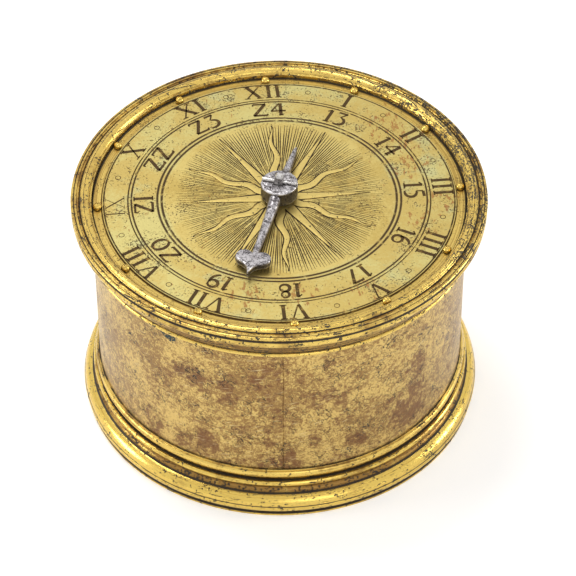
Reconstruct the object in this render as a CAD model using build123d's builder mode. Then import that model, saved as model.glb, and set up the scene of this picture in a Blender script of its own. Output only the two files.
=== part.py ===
"""Renaissance drum clock: a gilt-brass drum case with a moulded rim and a hinged base cover,
a horizontal dial with touch pins and one iron hand, and an iron movement with verge escapement.

Millimetres, +Z up, twelve o'clock towards +Y. The origin is the centre of the base cover's foot.
"""

import os
from math import acos, atan2, cos, degrees, pi, radians, sin

from build123d import *

# Driving dimensions: case
BODY_RADIUS = 30.0  # outside of the rolled drum band
WALL = 1.2
BAND_FOOT_Z = 6.5
BAND_TOP_Z = 36.9
SEAM_WIDTH = 0.12
SEAM_DEPTH = 0.2
SEAM_ANGLE = -93.5  # direction of the soldered seam, from +X
FOOT_RADIUS = 32.6  # base cover
BASE_RIM_Z = 6.2
FLOOR_Z = 2.6  # top of the floor, under the lip that holds it
FLOOR_THICKNESS = 1.1
FLOOR_LIP = 0.5
FLOOR_CIRCLES = (6.0, 18.0, 24.5)
SPIGOT_RADIUS = 28.5
SPIGOT_WALL = 0.9
SPIGOT_TOP_Z = 8.2
RIM_RADIUS = 33.2  # cornice at the top of the drum
RIM_FOOT_Z = 35.0
RIM_TOP_Z = 39.9
LEDGE_Z = 37.3
REBATE_RADIUS = 31.3
BEAD_RADIUS = 30.7  # half-round bead at the foot of the drum
BEAD_FOOT_Z = 6.75
BEAD_HEIGHT = 1.65

# Driving dimensions: dial
DIAL_RADIUS = 29.75
DIAL_FACE_Z = 39.6
DIAL_THICKNESS = 1.2
RING_LINES = (18.7, 19.45, 23.6, 24.1, 28.15)  # scribed circles of the chapter rings
LINE_WIDTH = 0.16
LINE_DEPTH = 0.1
GUTTER_WIDTH = 1.5
GUTTER_DEPTH = 0.28
BEZEL_INNER = 29.85
BEZEL_CREST = 30.75  # radius of the crest
BEZEL_CREST_Z = 40.8
BEZEL_EDGE_Z = 40.15  # underside of the edge that overhangs the rim
FILLET_Z = 40.62
BEZEL_LIP = 0.9  # inward lip below the dial
TOUCH_PIN_CIRCLE = 29.0
TOUCH_PIN_RADIUS = 0.35
TOUCH_PIN_HEAD = 0.62
TOUCH_PIN_HEIGHT = 1.0
HOURS = 12

# Driving dimensions: hand
HAND_ANGLE = 199.0  # clockwise from twelve
HAND_REACH = 20.0
HAND_TAIL = 10.9
BOSS_RADIUS = 2.95
BOSS_GAP = 0.6  # boss above the dial
BOSS_HEIGHT = 2.7
BLADE_HEIGHT = 1.15
BLADE_GAP = 0.7  # blade above the dial
STEM_ROOT = 2.0
LEAF_HALF_WIDTH = 2.85
LEAF_NOTCH = 15.5
SQUARE = 1.3  # square end of the hour arbor
SQUARE_RISE = 1.4
CROSS_PIN_RADIUS = 0.34
HOUR_ARBOR = 1.3
HOUR_PIVOT = 1.0
CENTRE_HOLE = 1.7

# Driving dimensions: movement frame
PLATE_RADIUS = 26.3
PLATE_THICKNESS = 1.6
TOP_PLATE_Z = 33.6  # underside
BOTTOM_PLATE_Z = 12.0  # underside
PILLAR_CIRCLE = 23.6
PILLAR_ANGLES = (40.0, 110.0, 180.0, 325.0)
PILLAR_SIZE = 2.4
TENON_RADIUS = 0.9
DIAL_FOOT_CIRCLE = 21.0
DIAL_FOOT_ANGLES = (75.0, 195.0, 315.0)
DIAL_FOOT_RADIUS = 1.1
TAPER_PIN_RADIUS = 0.4
PIVOT = 0.5
PIVOT_CLEARANCE = 0.05
SEAT_CLEARANCE = 0.02  # between a piece and the arbor or rebate that carries it
REST_GAP = 0.1  # between two pieces that lift apart
RUN_GAP = 0.3  # between moving pieces

# Driving dimensions: train
GREAT_TEETH, GREAT_MODULE = 56, 0.44
SECOND_PINION = 7
SECOND_TEETH, SECOND_MODULE = 60, 0.36
THIRD_PINION = 6
CONTRATE_TEETH, CONTRATE_RADIUS = 48, 7.5
CROWN_PINION = 6
CROWN_TEETH, CROWN_RADIUS = 21, 5.0
REPORT_PINION = 6
HOUR_TEETH, HOUR_MODULE = 72, 0.36
LETDOWN_PINION, LETDOWN_TEETH, LETDOWN_MODULE = 8, 32, 0.45
RATCHET_TEETH, RATCHET_RADIUS = 18, 4.6
WHEEL_THICKNESS = 1.1
ARBOR_RADIUS = 0.6
GREAT_RADIAL = 11.4  # winding arbor, from the centre of the dial
GREAT_BEARING = 217.9
CONTRATE_BEARING = 40.0  # contrate arbor, seen from the second arbor
CROWN_BEARING = 115.0  # crown wheel's arbor, seen from the contrate arbor
LETDOWN_BEARING = 300.0  # snail wheel, seen from the winding arbor
CLICK_ANGLE = 20.0  # click's stud, seen from the winding arbor
CLICK_RADIAL = 8.3
CLICK_NOSE = 0.35
CLICK_SPRING_LINE = 7.3
WINDING_RADIUS = 1.6
WINDING_PIVOT = 1.0
WINDING_SQUARE = 2.2
WINDING_SQUARE_LENGTH = 3.2
REPORT_BORE = 0.4
REPORT_RISE = 2.0
STUD_RADIUS = 1.0
SCREW_RADIUS = 0.7
SCREW_HEAD_HEIGHT = 0.8

# Heights in the movement
GREAT_Z = 20.6
RATCHET_Z = 19.4
SPRING_Z = 22.6
SPRING_HEIGHT = 9.4
SECOND_Z = 15.2
CONTRATE_Z = 20.4
CROWN_AXIS_Z = 24.2
HOUR_WHEEL_Z = 36.1
LETDOWN_Z = 9.9
SNAIL_Z = 8.5
BALANCE_Z = 8.7
COCK_Z = 6.6  # upper face of the cock's arm
WINDING_SQUARE_Z = 8.8  # shoulder of the key's square

# Mainspring and snail work
SPRING_TURNS = 6.0
SPRING_STRIP = 0.5
SPRING_OUTER = 10.2
SPRING_ARBOR = 1.9
SPRING_END_ANGLE = 100.0
SPRING_LINE = 25.3  # radius of the stackfreed spring round the plate
SPRING_FOOT_ANGLE = 305.0
SNAIL_LOW, SNAIL_HIGH = 3.0, 5.4
SNAIL_SWEEP = 290.0
SNAIL_BACK = 12.0
SNAIL_BORE = 0.85  # winding arbor inside the snail's pinion
ROLLER_RADIUS = 1.5
ROLLER_PIN = 0.5
LUG_THICKNESS = 0.9

# Escapement
VERGE_RADIUS = 0.55
PALLET_GAP = 0.12  # tooth tip to pallet
PALLET_ANGLE = 48.0
PALLET_HEIGHT = 1.8
PALLET_WIDTH = 0.35
BALANCE_RADIUS = 10.0
BALANCE_RIM = 1.1
BALANCE_THICKNESS = 0.9
COCK_REACH = 13.2
COCK_BEARING = 150.0
COCK_THICKNESS = 1.2

# Hinge of the base cover
HINGE_Y = 31.9
HINGE_Z = 6.6
KNUCKLE_RADIUS = 1.2
KNUCKLE_LENGTH = 5.0
HINGE_GAP = 0.15
HINGE_PIN_RADIUS = 0.6
LEAF_HEIGHT = 4.4


def polar(radius, angle, origin=(0, 0)):
    """Point at an angle in degrees from +X about an origin in the plane."""
    return (origin[0] + radius * cos(radians(angle)), origin[1] + radius * sin(radians(angle)))


def bearing(start, end):
    """Angle in degrees from +X of the line from one point to another."""
    return degrees(atan2(end[1] - start[1], end[0] - start[0]))


def mesh_distance(module, wheel, pinion):
    """Centre distance of a wheel and its pinion."""
    return module * (wheel + pinion) / 2


def corner_angle(side_a, side_b, opposite):
    """Angle between two sides of a triangle, from its three lengths, in degrees."""
    return degrees(acos((side_a**2 + side_b**2 - opposite**2) / (2 * side_a * side_b)))


# Places of the arbors, each found from the one that drives it
SECOND_RADIAL = mesh_distance(HOUR_MODULE, HOUR_TEETH, REPORT_PINION)
GREAT_AT = polar(GREAT_RADIAL, GREAT_BEARING)
SECOND_AT = polar(
    SECOND_RADIAL,
    GREAT_BEARING
    + corner_angle(
        GREAT_RADIAL, SECOND_RADIAL, mesh_distance(GREAT_MODULE, GREAT_TEETH, SECOND_PINION)
    ),
)
CONTRATE_AT = polar(
    mesh_distance(SECOND_MODULE, SECOND_TEETH, THIRD_PINION), CONTRATE_BEARING, SECOND_AT
)
LETDOWN_AT = polar(
    mesh_distance(LETDOWN_MODULE, LETDOWN_TEETH, LETDOWN_PINION), LETDOWN_BEARING, GREAT_AT
)

# Along the crown wheel's arbor, measured from the contrate wheel's arbor
CROWN_INNER_PIVOT = 3.2
CROWN_BRACKET = 8.7
BRACKET = 1.0
CROWN_WEB = 10.2
CROWN_ROOT = 12.1
CROWN_TIP = 13.2
CROWN_WALL = 0.6
CROWN_ARBOR = 0.5
CROWN_MODULE = 2 * CONTRATE_RADIUS / CONTRATE_TEETH
VERGE_REACH = CROWN_TIP + 1.15
PALLET_REACH = VERGE_REACH - CROWN_TIP - PALLET_GAP
VERGE_AT = polar(VERGE_REACH, CROWN_BEARING, CONTRATE_AT)

# Contrate wheel's teeth, from the pitch line under the crown wheel's pinion
CONTRATE_PITCH_Z = CROWN_AXIS_Z - CROWN_MODULE * CROWN_PINION / 2
CONTRATE_TIP_Z = CONTRATE_PITCH_Z + 0.9 * CROWN_MODULE
CONTRATE_ROOT_Z = CONTRATE_PITCH_Z - 1.2 * CROWN_MODULE
CONTRATE_WEB = 1.0
CONTRATE_WALL = 0.9

# Places of the other pieces of the movement
CLICK_AT = polar(CLICK_RADIAL, CLICK_ANGLE, GREAT_AT)
SNAIL_BEARING = bearing((0, 0), LETDOWN_AT)
ROLLER_AT = polar(SNAIL_HIGH + REST_GAP + ROLLER_RADIUS, SNAIL_BEARING, LETDOWN_AT)
SPRING_FOOT_AT = polar(SPRING_LINE - 1.2, SPRING_FOOT_ANGLE + 4)
SPRING_POST_AT = polar(SPRING_OUTER + STUD_RADIUS + 0.4, SPRING_END_ANGLE, GREAT_AT)
COCK_SCREWS_AT = (
    polar(COCK_REACH, COCK_BEARING - 9, VERGE_AT),
    polar(COCK_REACH, COCK_BEARING + 9, VERGE_AT),
)

# Worked out from the driving dimensions
BAND_BORE = BODY_RADIUS - WALL
FLOOR_RADIUS = SPIGOT_RADIUS - SPIGOT_WALL
DIAL_BACK_Z = DIAL_FACE_Z - DIAL_THICKNESS
TOP_PLATE_TOP = TOP_PLATE_Z + PLATE_THICKNESS
BOTTOM_PLATE_TOP = BOTTOM_PLATE_Z + PLATE_THICKNESS
PIVOT_HOLE = PIVOT + PIVOT_CLEARANCE
HINGE_LENGTH = 3 * KNUCKLE_LENGTH + 2 * HINGE_GAP
HAND_TURN = 90 - HAND_ANGLE
BOSS_Z = DIAL_FACE_Z + BOSS_GAP
HAND_PIN_PLANE = Plane(
    origin=(0, 0, BOSS_Z + BOSS_HEIGHT + 0.05),
    x_dir=(0, 0, 1),
    z_dir=(-sin(radians(HAND_TURN)), cos(radians(HAND_TURN)), 0),
)

os.makedirs("parts", exist_ok=True)


def save(builder, name):
    """Label a finished piece and write it as its own file."""
    builder.part.label = name
    export_step(builder.part, f"parts/{name}.step")


def tooth_points(teeth, module, root, tip, width, tip_width, root_width):
    """Outline of a toothed disc, one trapezoid tooth after another, the first tooth on +X."""
    pitch = 2 * pi / teeth
    shape = (
        (root, -root_width / 2),
        (module * teeth / 2, -width / 2),
        (tip, -tip_width / 2),
        (tip, tip_width / 2),
        (module * teeth / 2, width / 2),
        (root, root_width / 2),
    )
    return [
        (radius * cos((i + share) * pitch), radius * sin((i + share) * pitch))
        for i in range(teeth)
        for radius, share in shape
    ]


def wheel_points(teeth, module):
    """Wheel teeth: filed straight, narrower at the tip."""
    radius = module * teeth / 2
    return tooth_points(
        teeth, module, radius - 1.2 * module, radius + 0.9 * module, 0.4, 0.16, 0.52
    )


def pinion_points(teeth, module):
    """Pinion leaves: slim, with a deep root."""
    radius = module * teeth / 2
    return tooth_points(
        teeth, module, radius - 1.25 * module, radius + 0.55 * module, 0.36, 0.2, 0.4
    )


def upright(at, z, turn=0.0):
    """Working plane at a height on an arbor, its x direction turned by an angle."""
    return Plane(
        origin=(at[0], at[1], z), x_dir=(cos(radians(turn)), sin(radians(turn)), 0), z_dir=(0, 0, 1)
    )


def toothed_disc(plane, points, height):
    """Toothed disc standing on a plane."""
    with BuildSketch(plane) as outline:
        with BuildLine():
            Polyline(*points, close=True)
        make_face()
    extrude(outline.sketch, amount=height)


def crossings(plane, inner, outer, arms, arm_width, height):
    """Cut the openings between a wheel's arms."""
    with BuildSketch(plane) as windows:
        Circle(outer)
        Circle(inner, mode=Mode.SUBTRACT)
        with PolarLocations(0, arms):
            Rectangle(
                outer + arm_width, arm_width, align=(Align.MIN, Align.CENTER), mode=Mode.SUBTRACT
            )
    extrude(windows.sketch, amount=height, mode=Mode.SUBTRACT)


def turned(steps, at=(0, 0)):
    """Turned piece from (height, radius) steps, each radius reaching up to the next height."""
    for (low, radius), (high, _) in zip(steps[:-1], steps[1:]):
        with BuildSketch(upright(at, low)) as section:
            Circle(radius)
        extrude(section.sketch, amount=high - low)


def bored(points, height, low):
    """Cut round holes, given as (centre, radius), through a plate."""
    for centre, radius in points:
        with BuildSketch(upright(centre, low)) as section:
            Circle(radius)
        extrude(section.sketch, amount=height, mode=Mode.SUBTRACT)


def crown_plane(distance, turn=0.0):
    """Plane across the crown wheel's arbor, its x direction turned by an angle from straight down."""
    along = Vector(*polar(1, CROWN_BEARING), 0)
    return Plane(
        origin=(*polar(distance, CROWN_BEARING, CONTRATE_AT), CROWN_AXIS_Z),
        x_dir=Vector(0, 0, -1).rotate(Axis((0, 0, 0), along), turn),
        z_dir=along,
    )


def tooth_planes(origin, axis, radial, count, shift=0.0):
    """Planes facing outwards all round an axis, y along the axis, shifted by a share of the pitch."""
    planes = []
    for i in range(count):
        outward = Vector(*radial).rotate(Axis((0, 0, 0), axis), (i + shift) * 360 / count)
        planes.append(Plane(origin=origin, x_dir=Vector(*axis).cross(outward), z_dir=outward))
    return planes


# Drum band: rolled sheet with one soldered seam
with BuildPart() as drum_band:
    with BuildSketch(Plane.XY.offset(BAND_FOOT_Z)):
        Circle(BODY_RADIUS)
        Circle(BAND_BORE, mode=Mode.SUBTRACT)
    extrude(amount=BAND_TOP_Z - BAND_FOOT_Z)
    with BuildSketch(upright((0, 0), BAND_FOOT_Z, SEAM_ANGLE)):
        with Locations((BODY_RADIUS, 0)):
            Rectangle(2 * SEAM_DEPTH, SEAM_WIDTH)
    extrude(amount=BAND_TOP_Z - BAND_FOOT_Z, mode=Mode.SUBTRACT)
save(drum_band, "drum_band")

# Rim moulding: a cornice soldered round the top of the drum, with the bezel's ledge inside
with BuildPart() as rim_moulding:
    inner = BODY_RADIUS + SEAT_CLEARANCE
    bead = BODY_RADIUS + 1.25
    neck = (bead + 0.1, RIM_FOOT_Z + 0.95)
    swell = (RIM_RADIUS - 0.4, RIM_TOP_Z - 1.35)
    with BuildSketch(Plane.XZ):
        with BuildLine():
            Line((inner, RIM_FOOT_Z), (bead, RIM_FOOT_Z))
            ThreePointArc(
                (bead, RIM_FOOT_Z), (bead + 0.36, RIM_FOOT_Z + 0.38), (bead, RIM_FOOT_Z + 0.75)
            )
            Line((bead, RIM_FOOT_Z + 0.75), neck)
            ThreePointArc(
                neck, ((neck[0] + swell[0]) / 2 + 0.12, (neck[1] + swell[1]) / 2 - 0.04), swell
            )
            Line(swell, (RIM_RADIUS - 0.15, swell[1] + 0.1))
            ThreePointArc(
                (RIM_RADIUS - 0.15, swell[1] + 0.1),
                (RIM_RADIUS - 0.02, (swell[1] + RIM_TOP_Z) / 2),
                (RIM_RADIUS - 0.15, RIM_TOP_Z),
            )
            Polyline(
                (RIM_RADIUS - 0.15, RIM_TOP_Z),
                (REBATE_RADIUS, RIM_TOP_Z),
                (REBATE_RADIUS, LEDGE_Z),
                (BAND_BORE, LEDGE_Z),
                (BAND_BORE, BAND_TOP_Z),
                (inner, BAND_TOP_Z),
                (inner, RIM_FOOT_Z),
            )
        make_face()
    revolve(axis=Axis.Z)
save(rim_moulding, "rim_moulding")

# Foot bead: half-round ring soldered round the foot of the drum
with BuildPart() as foot_bead:
    inner = BODY_RADIUS + SEAT_CLEARANCE
    with BuildSketch(Plane.XZ):
        with BuildLine():
            Line((inner, BEAD_FOOT_Z), (BEAD_RADIUS - 0.3, BEAD_FOOT_Z))
            ThreePointArc(
                (BEAD_RADIUS - 0.3, BEAD_FOOT_Z),
                (BEAD_RADIUS, BEAD_FOOT_Z + BEAD_HEIGHT / 2),
                (BEAD_RADIUS - 0.3, BEAD_FOOT_Z + BEAD_HEIGHT),
            )
            Polyline(
                (BEAD_RADIUS - 0.3, BEAD_FOOT_Z + BEAD_HEIGHT),
                (inner, BEAD_FOOT_Z + BEAD_HEIGHT),
                (inner, BEAD_FOOT_Z),
            )
        make_face()
    revolve(axis=Axis.Z)
save(foot_bead, "foot_bead")

# Base cover: turned ring with torus and cavetto, and a spigot that enters the drum
with BuildPart() as base_moulding:
    fillet_foot = FOOT_RADIUS - 1.45
    with BuildSketch(Plane.XZ):
        with BuildLine():
            Polyline(
                (FLOOR_RADIUS, 0),
                (FOOT_RADIUS - 0.25, 0),
                (FOOT_RADIUS, 0.2),
                (FOOT_RADIUS, 0.65),
                (FOOT_RADIUS - 0.4, 0.8),
                (FOOT_RADIUS - 0.4, 1.1),
                (FOOT_RADIUS + 0.1, 1.25),
            )
            ThreePointArc(
                (FOOT_RADIUS + 0.1, 1.25), (FOOT_RADIUS + 0.3, 1.8), (FOOT_RADIUS + 0.15, 2.35)
            )
            ThreePointArc(
                (FOOT_RADIUS + 0.15, 2.35), (FOOT_RADIUS - 0.3, 3.35), (FOOT_RADIUS - 1.2, 3.9)
            )
            Line((FOOT_RADIUS - 1.2, 3.9), (fillet_foot, 4.15))
            ThreePointArc(
                (fillet_foot, 4.15), (fillet_foot - 0.45, 4.75), (fillet_foot - 0.25, 5.3)
            )
            Line((fillet_foot - 0.25, 5.3), (fillet_foot - 0.1, 5.4))
            ThreePointArc(
                (fillet_foot - 0.1, 5.4), (fillet_foot, 5.8), (fillet_foot - 0.3, BASE_RIM_Z)
            )
            Polyline(
                (fillet_foot - 0.3, BASE_RIM_Z),
                (BODY_RADIUS, BASE_RIM_Z),
                (BODY_RADIUS, BAND_FOOT_Z),
                (SPIGOT_RADIUS, BAND_FOOT_Z),
                (SPIGOT_RADIUS, SPIGOT_TOP_Z),
                (FLOOR_RADIUS, SPIGOT_TOP_Z),
                (FLOOR_RADIUS, FLOOR_Z + FLOOR_LIP),
                (FLOOR_RADIUS - 1.0, FLOOR_Z + FLOOR_LIP),
                (FLOOR_RADIUS - 1.0, FLOOR_Z),
                (FLOOR_RADIUS, FLOOR_Z),
                (FLOOR_RADIUS, 0),
            )
        make_face()
    revolve(axis=Axis.Z)
    with BuildSketch(Plane.YZ):
        with Locations((HINGE_Y, HINGE_Z)):
            Circle(KNUCKLE_RADIUS + RUN_GAP)
    extrude(amount=HINGE_LENGTH / 2 + RUN_GAP, both=True, mode=Mode.SUBTRACT)
save(base_moulding, "base_moulding")

# Floor of the base cover, set under the lip, with three turned circles on its underside
with BuildPart() as base_floor:
    with BuildSketch(Plane.XY.offset(FLOOR_Z - FLOOR_THICKNESS)):
        Circle(FLOOR_RADIUS - SEAT_CLEARANCE)
    extrude(amount=FLOOR_THICKNESS)
    for radius in FLOOR_CIRCLES:
        with BuildSketch(Plane.XY.offset(FLOOR_Z - FLOOR_THICKNESS)):
            Circle(radius + LINE_WIDTH)
            Circle(radius, mode=Mode.SUBTRACT)
        extrude(amount=LINE_DEPTH, mode=Mode.SUBTRACT)
save(base_floor, "base_floor")

# Middle knuckle of the hinge, with its leaf soldered to the drum
with BuildPart() as case_knuckle:
    with BuildSketch(Plane.YZ):
        with Locations((HINGE_Y, HINGE_Z)):
            Circle(KNUCKLE_RADIUS)
        with Locations((BODY_RADIUS + 0.45, BEAD_FOOT_Z)):
            Rectangle(1.5, LEAF_HEIGHT, align=(Align.CENTER, Align.MIN))
        with Locations((HINGE_Y, HINGE_Z)):
            Circle(HINGE_PIN_RADIUS + SEAT_CLEARANCE, mode=Mode.SUBTRACT)
    extrude(amount=KNUCKLE_LENGTH / 2, both=True)
    add(foot_bead.part, mode=Mode.SUBTRACT)
    with BuildSketch(Plane.XY):
        Circle(BODY_RADIUS + SEAT_CLEARANCE)
    extrude(amount=RIM_TOP_Z, mode=Mode.SUBTRACT)
save(case_knuckle, "case_knuckle")

# Outer knuckles of the hinge, with leaves soldered to the base cover
with BuildPart() as cover_knuckles:
    for side in (-1, 1):
        middle = side * (KNUCKLE_LENGTH + HINGE_GAP)
        with BuildSketch(Plane.YZ.offset(middle)):
            with Locations((HINGE_Y, HINGE_Z)):
                Circle(KNUCKLE_RADIUS)
            with Locations((HINGE_Y + 0.1, HINGE_Z)):
                Rectangle(1.4, 4.2, align=(Align.CENTER, Align.MAX))
            with Locations((HINGE_Y, HINGE_Z)):
                Circle(HINGE_PIN_RADIUS + PIVOT_CLEARANCE, mode=Mode.SUBTRACT)
        extrude(amount=KNUCKLE_LENGTH / 2, both=True)
    add(base_moulding.part, mode=Mode.SUBTRACT)
save(cover_knuckles, "cover_knuckles")

# Hinge pin
with BuildPart() as hinge_pin:
    with BuildSketch(Plane.YZ):
        with Locations((HINGE_Y, HINGE_Z)):
            Circle(HINGE_PIN_RADIUS)
    extrude(amount=HINGE_LENGTH / 2 + 0.2, both=True)
save(hinge_pin, "hinge_pin")

# Bezel: turned ring that drops into the rebate of the rim and carries the dial on its lip
with BuildPart() as bezel_ring:
    outer = REBATE_RADIUS - SEAT_CLEARANCE
    edge = RIM_RADIUS
    step = BEZEL_INNER + 0.25
    with BuildSketch(Plane.XZ):
        with BuildLine():
            Polyline(
                (BEZEL_INNER - BEZEL_LIP, LEDGE_Z),
                (outer, LEDGE_Z),
                (outer, BEZEL_EDGE_Z),
                (edge - 0.2, BEZEL_EDGE_Z),
            )
            ThreePointArc(
                (edge - 0.2, BEZEL_EDGE_Z), (edge, BEZEL_EDGE_Z + 0.22), (edge - 0.2, FILLET_Z)
            )
            Polyline(
                (edge - 0.2, FILLET_Z),
                (edge - 0.5, FILLET_Z),
                (edge - 0.6, FILLET_Z - 0.14),
                (edge - 0.7, FILLET_Z),
                (edge - 0.9, FILLET_Z),
            )
            ThreePointArc(
                (edge - 0.9, FILLET_Z), (edge - 1.12, FILLET_Z - 0.35), (edge - 1.35, FILLET_Z - 0.1)
            )
            Line((edge - 1.35, FILLET_Z - 0.1), (edge - 1.6, FILLET_Z - 0.04))
            ThreePointArc(
                (edge - 1.6, FILLET_Z - 0.04), (BEZEL_CREST, BEZEL_CREST_Z), (step, DIAL_FACE_Z + 0.55)
            )
            Polyline(
                (step, DIAL_FACE_Z + 0.55),
                (BEZEL_INNER, DIAL_FACE_Z + 0.45),
                (BEZEL_INNER, DIAL_BACK_Z),
                (BEZEL_INNER - BEZEL_LIP, DIAL_BACK_Z),
                (BEZEL_INNER - BEZEL_LIP, LEDGE_Z),
            )
        make_face()
    revolve(axis=Axis.Z)
save(bezel_ring, "bezel_ring")

# Dial plate: scribed chapter circles, a gutter for the touch pins and holes for pins and feet
with BuildPart() as dial_plate:
    with BuildSketch(Plane.XY.offset(DIAL_BACK_Z)):
        Circle(DIAL_RADIUS)
        Circle(CENTRE_HOLE, mode=Mode.SUBTRACT)
        with PolarLocations(TOUCH_PIN_CIRCLE, HOURS):
            Circle(TOUCH_PIN_RADIUS + SEAT_CLEARANCE, mode=Mode.SUBTRACT)
    extrude(amount=DIAL_THICKNESS)
    with BuildSketch(Plane.XY.offset(DIAL_FACE_Z)):
        for radius in RING_LINES:
            with BuildSketch(mode=Mode.PRIVATE) as line:
                Circle(radius + LINE_WIDTH / 2)
                Circle(radius - LINE_WIDTH / 2, mode=Mode.SUBTRACT)
            add(line.sketch)
    extrude(amount=-LINE_DEPTH, mode=Mode.SUBTRACT)
    with BuildSketch(Plane.XY.offset(DIAL_FACE_Z)):
        Circle(TOUCH_PIN_CIRCLE + GUTTER_WIDTH / 2)
        Circle(TOUCH_PIN_CIRCLE - GUTTER_WIDTH / 2, mode=Mode.SUBTRACT)
    extrude(amount=-GUTTER_DEPTH, mode=Mode.SUBTRACT)
save(dial_plate, "dial_plate")

# Touch pins: twelve domed brass studs of one height
with BuildPart() as touch_pins:
    seat = DIAL_FACE_Z - GUTTER_DEPTH
    with BuildSketch(Plane.XY.offset(DIAL_BACK_Z)):
        with PolarLocations(TOUCH_PIN_CIRCLE, HOURS):
            Circle(TOUCH_PIN_RADIUS)
    extrude(amount=seat - DIAL_BACK_Z)
    with BuildSketch(Plane.XY.offset(seat)):
        with PolarLocations(TOUCH_PIN_CIRCLE, HOURS):
            Circle(TOUCH_PIN_HEAD)
    extrude(amount=TOUCH_PIN_HEIGHT)
    fillet(touch_pins.edges().group_by(Axis.Z)[-1], TOUCH_PIN_HEAD * 0.8)
save(touch_pins, "touch_pins")

# Dial feet: three pillars riveted to the dial's back, pinned under the top plate
with BuildPart() as dial_feet:
    for angle in DIAL_FOOT_ANGLES:
        at = polar(DIAL_FOOT_CIRCLE, angle)
        with BuildSketch(upright(at, TOP_PLATE_TOP)):
            Circle(DIAL_FOOT_RADIUS + 0.7)
        extrude(amount=DIAL_BACK_Z - TOP_PLATE_TOP)
        with BuildSketch(upright(at, TOP_PLATE_Z - 1.5)):
            Circle(DIAL_FOOT_RADIUS)
        extrude(amount=PLATE_THICKNESS + 1.5)
        cross = Plane(
            origin=(*at, TOP_PLATE_Z - TAPER_PIN_RADIUS),
            x_dir=(0, 0, 1),
            z_dir=(cos(radians(angle)), sin(radians(angle)), 0),
        )
        with BuildSketch(cross):
            Circle(TAPER_PIN_RADIUS + SEAT_CLEARANCE)
        extrude(amount=DIAL_FOOT_RADIUS * 2, both=True, mode=Mode.SUBTRACT)
save(dial_feet, "dial_feet")


def cross_pins(circle, angles, z, length):
    """Taper pins lying along the radii through their pillars."""
    for angle in angles:
        outward = (cos(radians(angle)), sin(radians(angle)), 0)
        low = Plane(
            origin=(*polar(circle - length / 2, angle), z), x_dir=(0, 0, 1), z_dir=outward
        )
        with BuildSketch(low) as thick:
            Circle(TAPER_PIN_RADIUS)
        with BuildSketch(low.offset(length)) as thin:
            Circle(TAPER_PIN_RADIUS * 0.8)
        loft([thick.sketch.face(), thin.sketch.face()])


with BuildPart() as dial_foot_pins:
    cross_pins(DIAL_FOOT_CIRCLE, DIAL_FOOT_ANGLES, TOP_PLATE_Z - TAPER_PIN_RADIUS, 4.4)
save(dial_foot_pins, "dial_foot_pins")

# Top plate: holes for pivots, the winding arbor, the pillars' tenons and the dial's feet
with BuildPart() as top_plate:
    with BuildSketch(Plane.XY.offset(TOP_PLATE_Z)):
        Circle(PLATE_RADIUS)
    extrude(amount=PLATE_THICKNESS)
    bored(
        [(polar(PILLAR_CIRCLE, angle), TENON_RADIUS + SEAT_CLEARANCE) for angle in PILLAR_ANGLES]
        + [
            (polar(DIAL_FOOT_CIRCLE, angle), DIAL_FOOT_RADIUS + SEAT_CLEARANCE)
            for angle in DIAL_FOOT_ANGLES
        ]
        + [
            (GREAT_AT, WINDING_PIVOT + PIVOT_CLEARANCE),
            (SECOND_AT, ARBOR_RADIUS + PIVOT_CLEARANCE),
            (CONTRATE_AT, PIVOT_HOLE),
            (VERGE_AT, PIVOT_HOLE),
            (SPRING_POST_AT, STUD_RADIUS + SEAT_CLEARANCE),
            ((0, 0), HOUR_PIVOT + PIVOT_CLEARANCE),
        ],
        PLATE_THICKNESS,
        TOP_PLATE_Z,
    )
save(top_plate, "top_plate")

# Bottom plate
with BuildPart() as bottom_plate:
    with BuildSketch(Plane.XY.offset(BOTTOM_PLATE_Z)):
        Circle(PLATE_RADIUS)
    extrude(amount=PLATE_THICKNESS)
    bored(
        [(polar(PILLAR_CIRCLE, angle), TENON_RADIUS + SEAT_CLEARANCE) for angle in PILLAR_ANGLES]
        + [
            (GREAT_AT, WINDING_RADIUS + PIVOT_CLEARANCE),
            (SECOND_AT, PIVOT_HOLE),
            (CONTRATE_AT, PIVOT_HOLE),
            (VERGE_AT, VERGE_RADIUS + RUN_GAP),
            (LETDOWN_AT, STUD_RADIUS + SEAT_CLEARANCE),
            (SPRING_FOOT_AT, SCREW_RADIUS + SEAT_CLEARANCE),
        ]
        + [(at, SCREW_RADIUS + SEAT_CLEARANCE) for at in COCK_SCREWS_AT],
        PLATE_THICKNESS,
        BOTTOM_PLATE_Z,
    )
save(bottom_plate, "bottom_plate")

# Pillars: square shanks with chamfered edges and round tenons
with BuildPart() as pillars:
    for angle in PILLAR_ANGLES:
        at = polar(PILLAR_CIRCLE, angle)
        with BuildSketch(upright(at, BOTTOM_PLATE_TOP, angle)):
            Rectangle(PILLAR_SIZE, PILLAR_SIZE)
        extrude(amount=TOP_PLATE_Z - BOTTOM_PLATE_TOP)
    chamfer(pillars.edges().filter_by(Axis.Z), PILLAR_SIZE * 0.15)
    for angle in PILLAR_ANGLES:
        at = polar(PILLAR_CIRCLE, angle)
        with BuildSketch(upright(at, BOTTOM_PLATE_Z)):
            Circle(TENON_RADIUS)
        extrude(amount=PLATE_THICKNESS)
        with BuildSketch(upright(at, TOP_PLATE_Z)):
            Circle(TENON_RADIUS)
        extrude(amount=PLATE_THICKNESS + 1.5)
        cross = Plane(
            origin=(*at, TOP_PLATE_TOP + TAPER_PIN_RADIUS),
            x_dir=(0, 0, 1),
            z_dir=(cos(radians(angle)), sin(radians(angle)), 0),
        )
        with BuildSketch(cross):
            Circle(TAPER_PIN_RADIUS + SEAT_CLEARANCE)
        extrude(amount=TENON_RADIUS * 2, both=True, mode=Mode.SUBTRACT)
save(pillars, "pillars")

with BuildPart() as pillar_pins:
    cross_pins(PILLAR_CIRCLE, PILLAR_ANGLES, TOP_PLATE_TOP + TAPER_PIN_RADIUS, 4.0)
save(pillar_pins, "pillar_pins")

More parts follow.
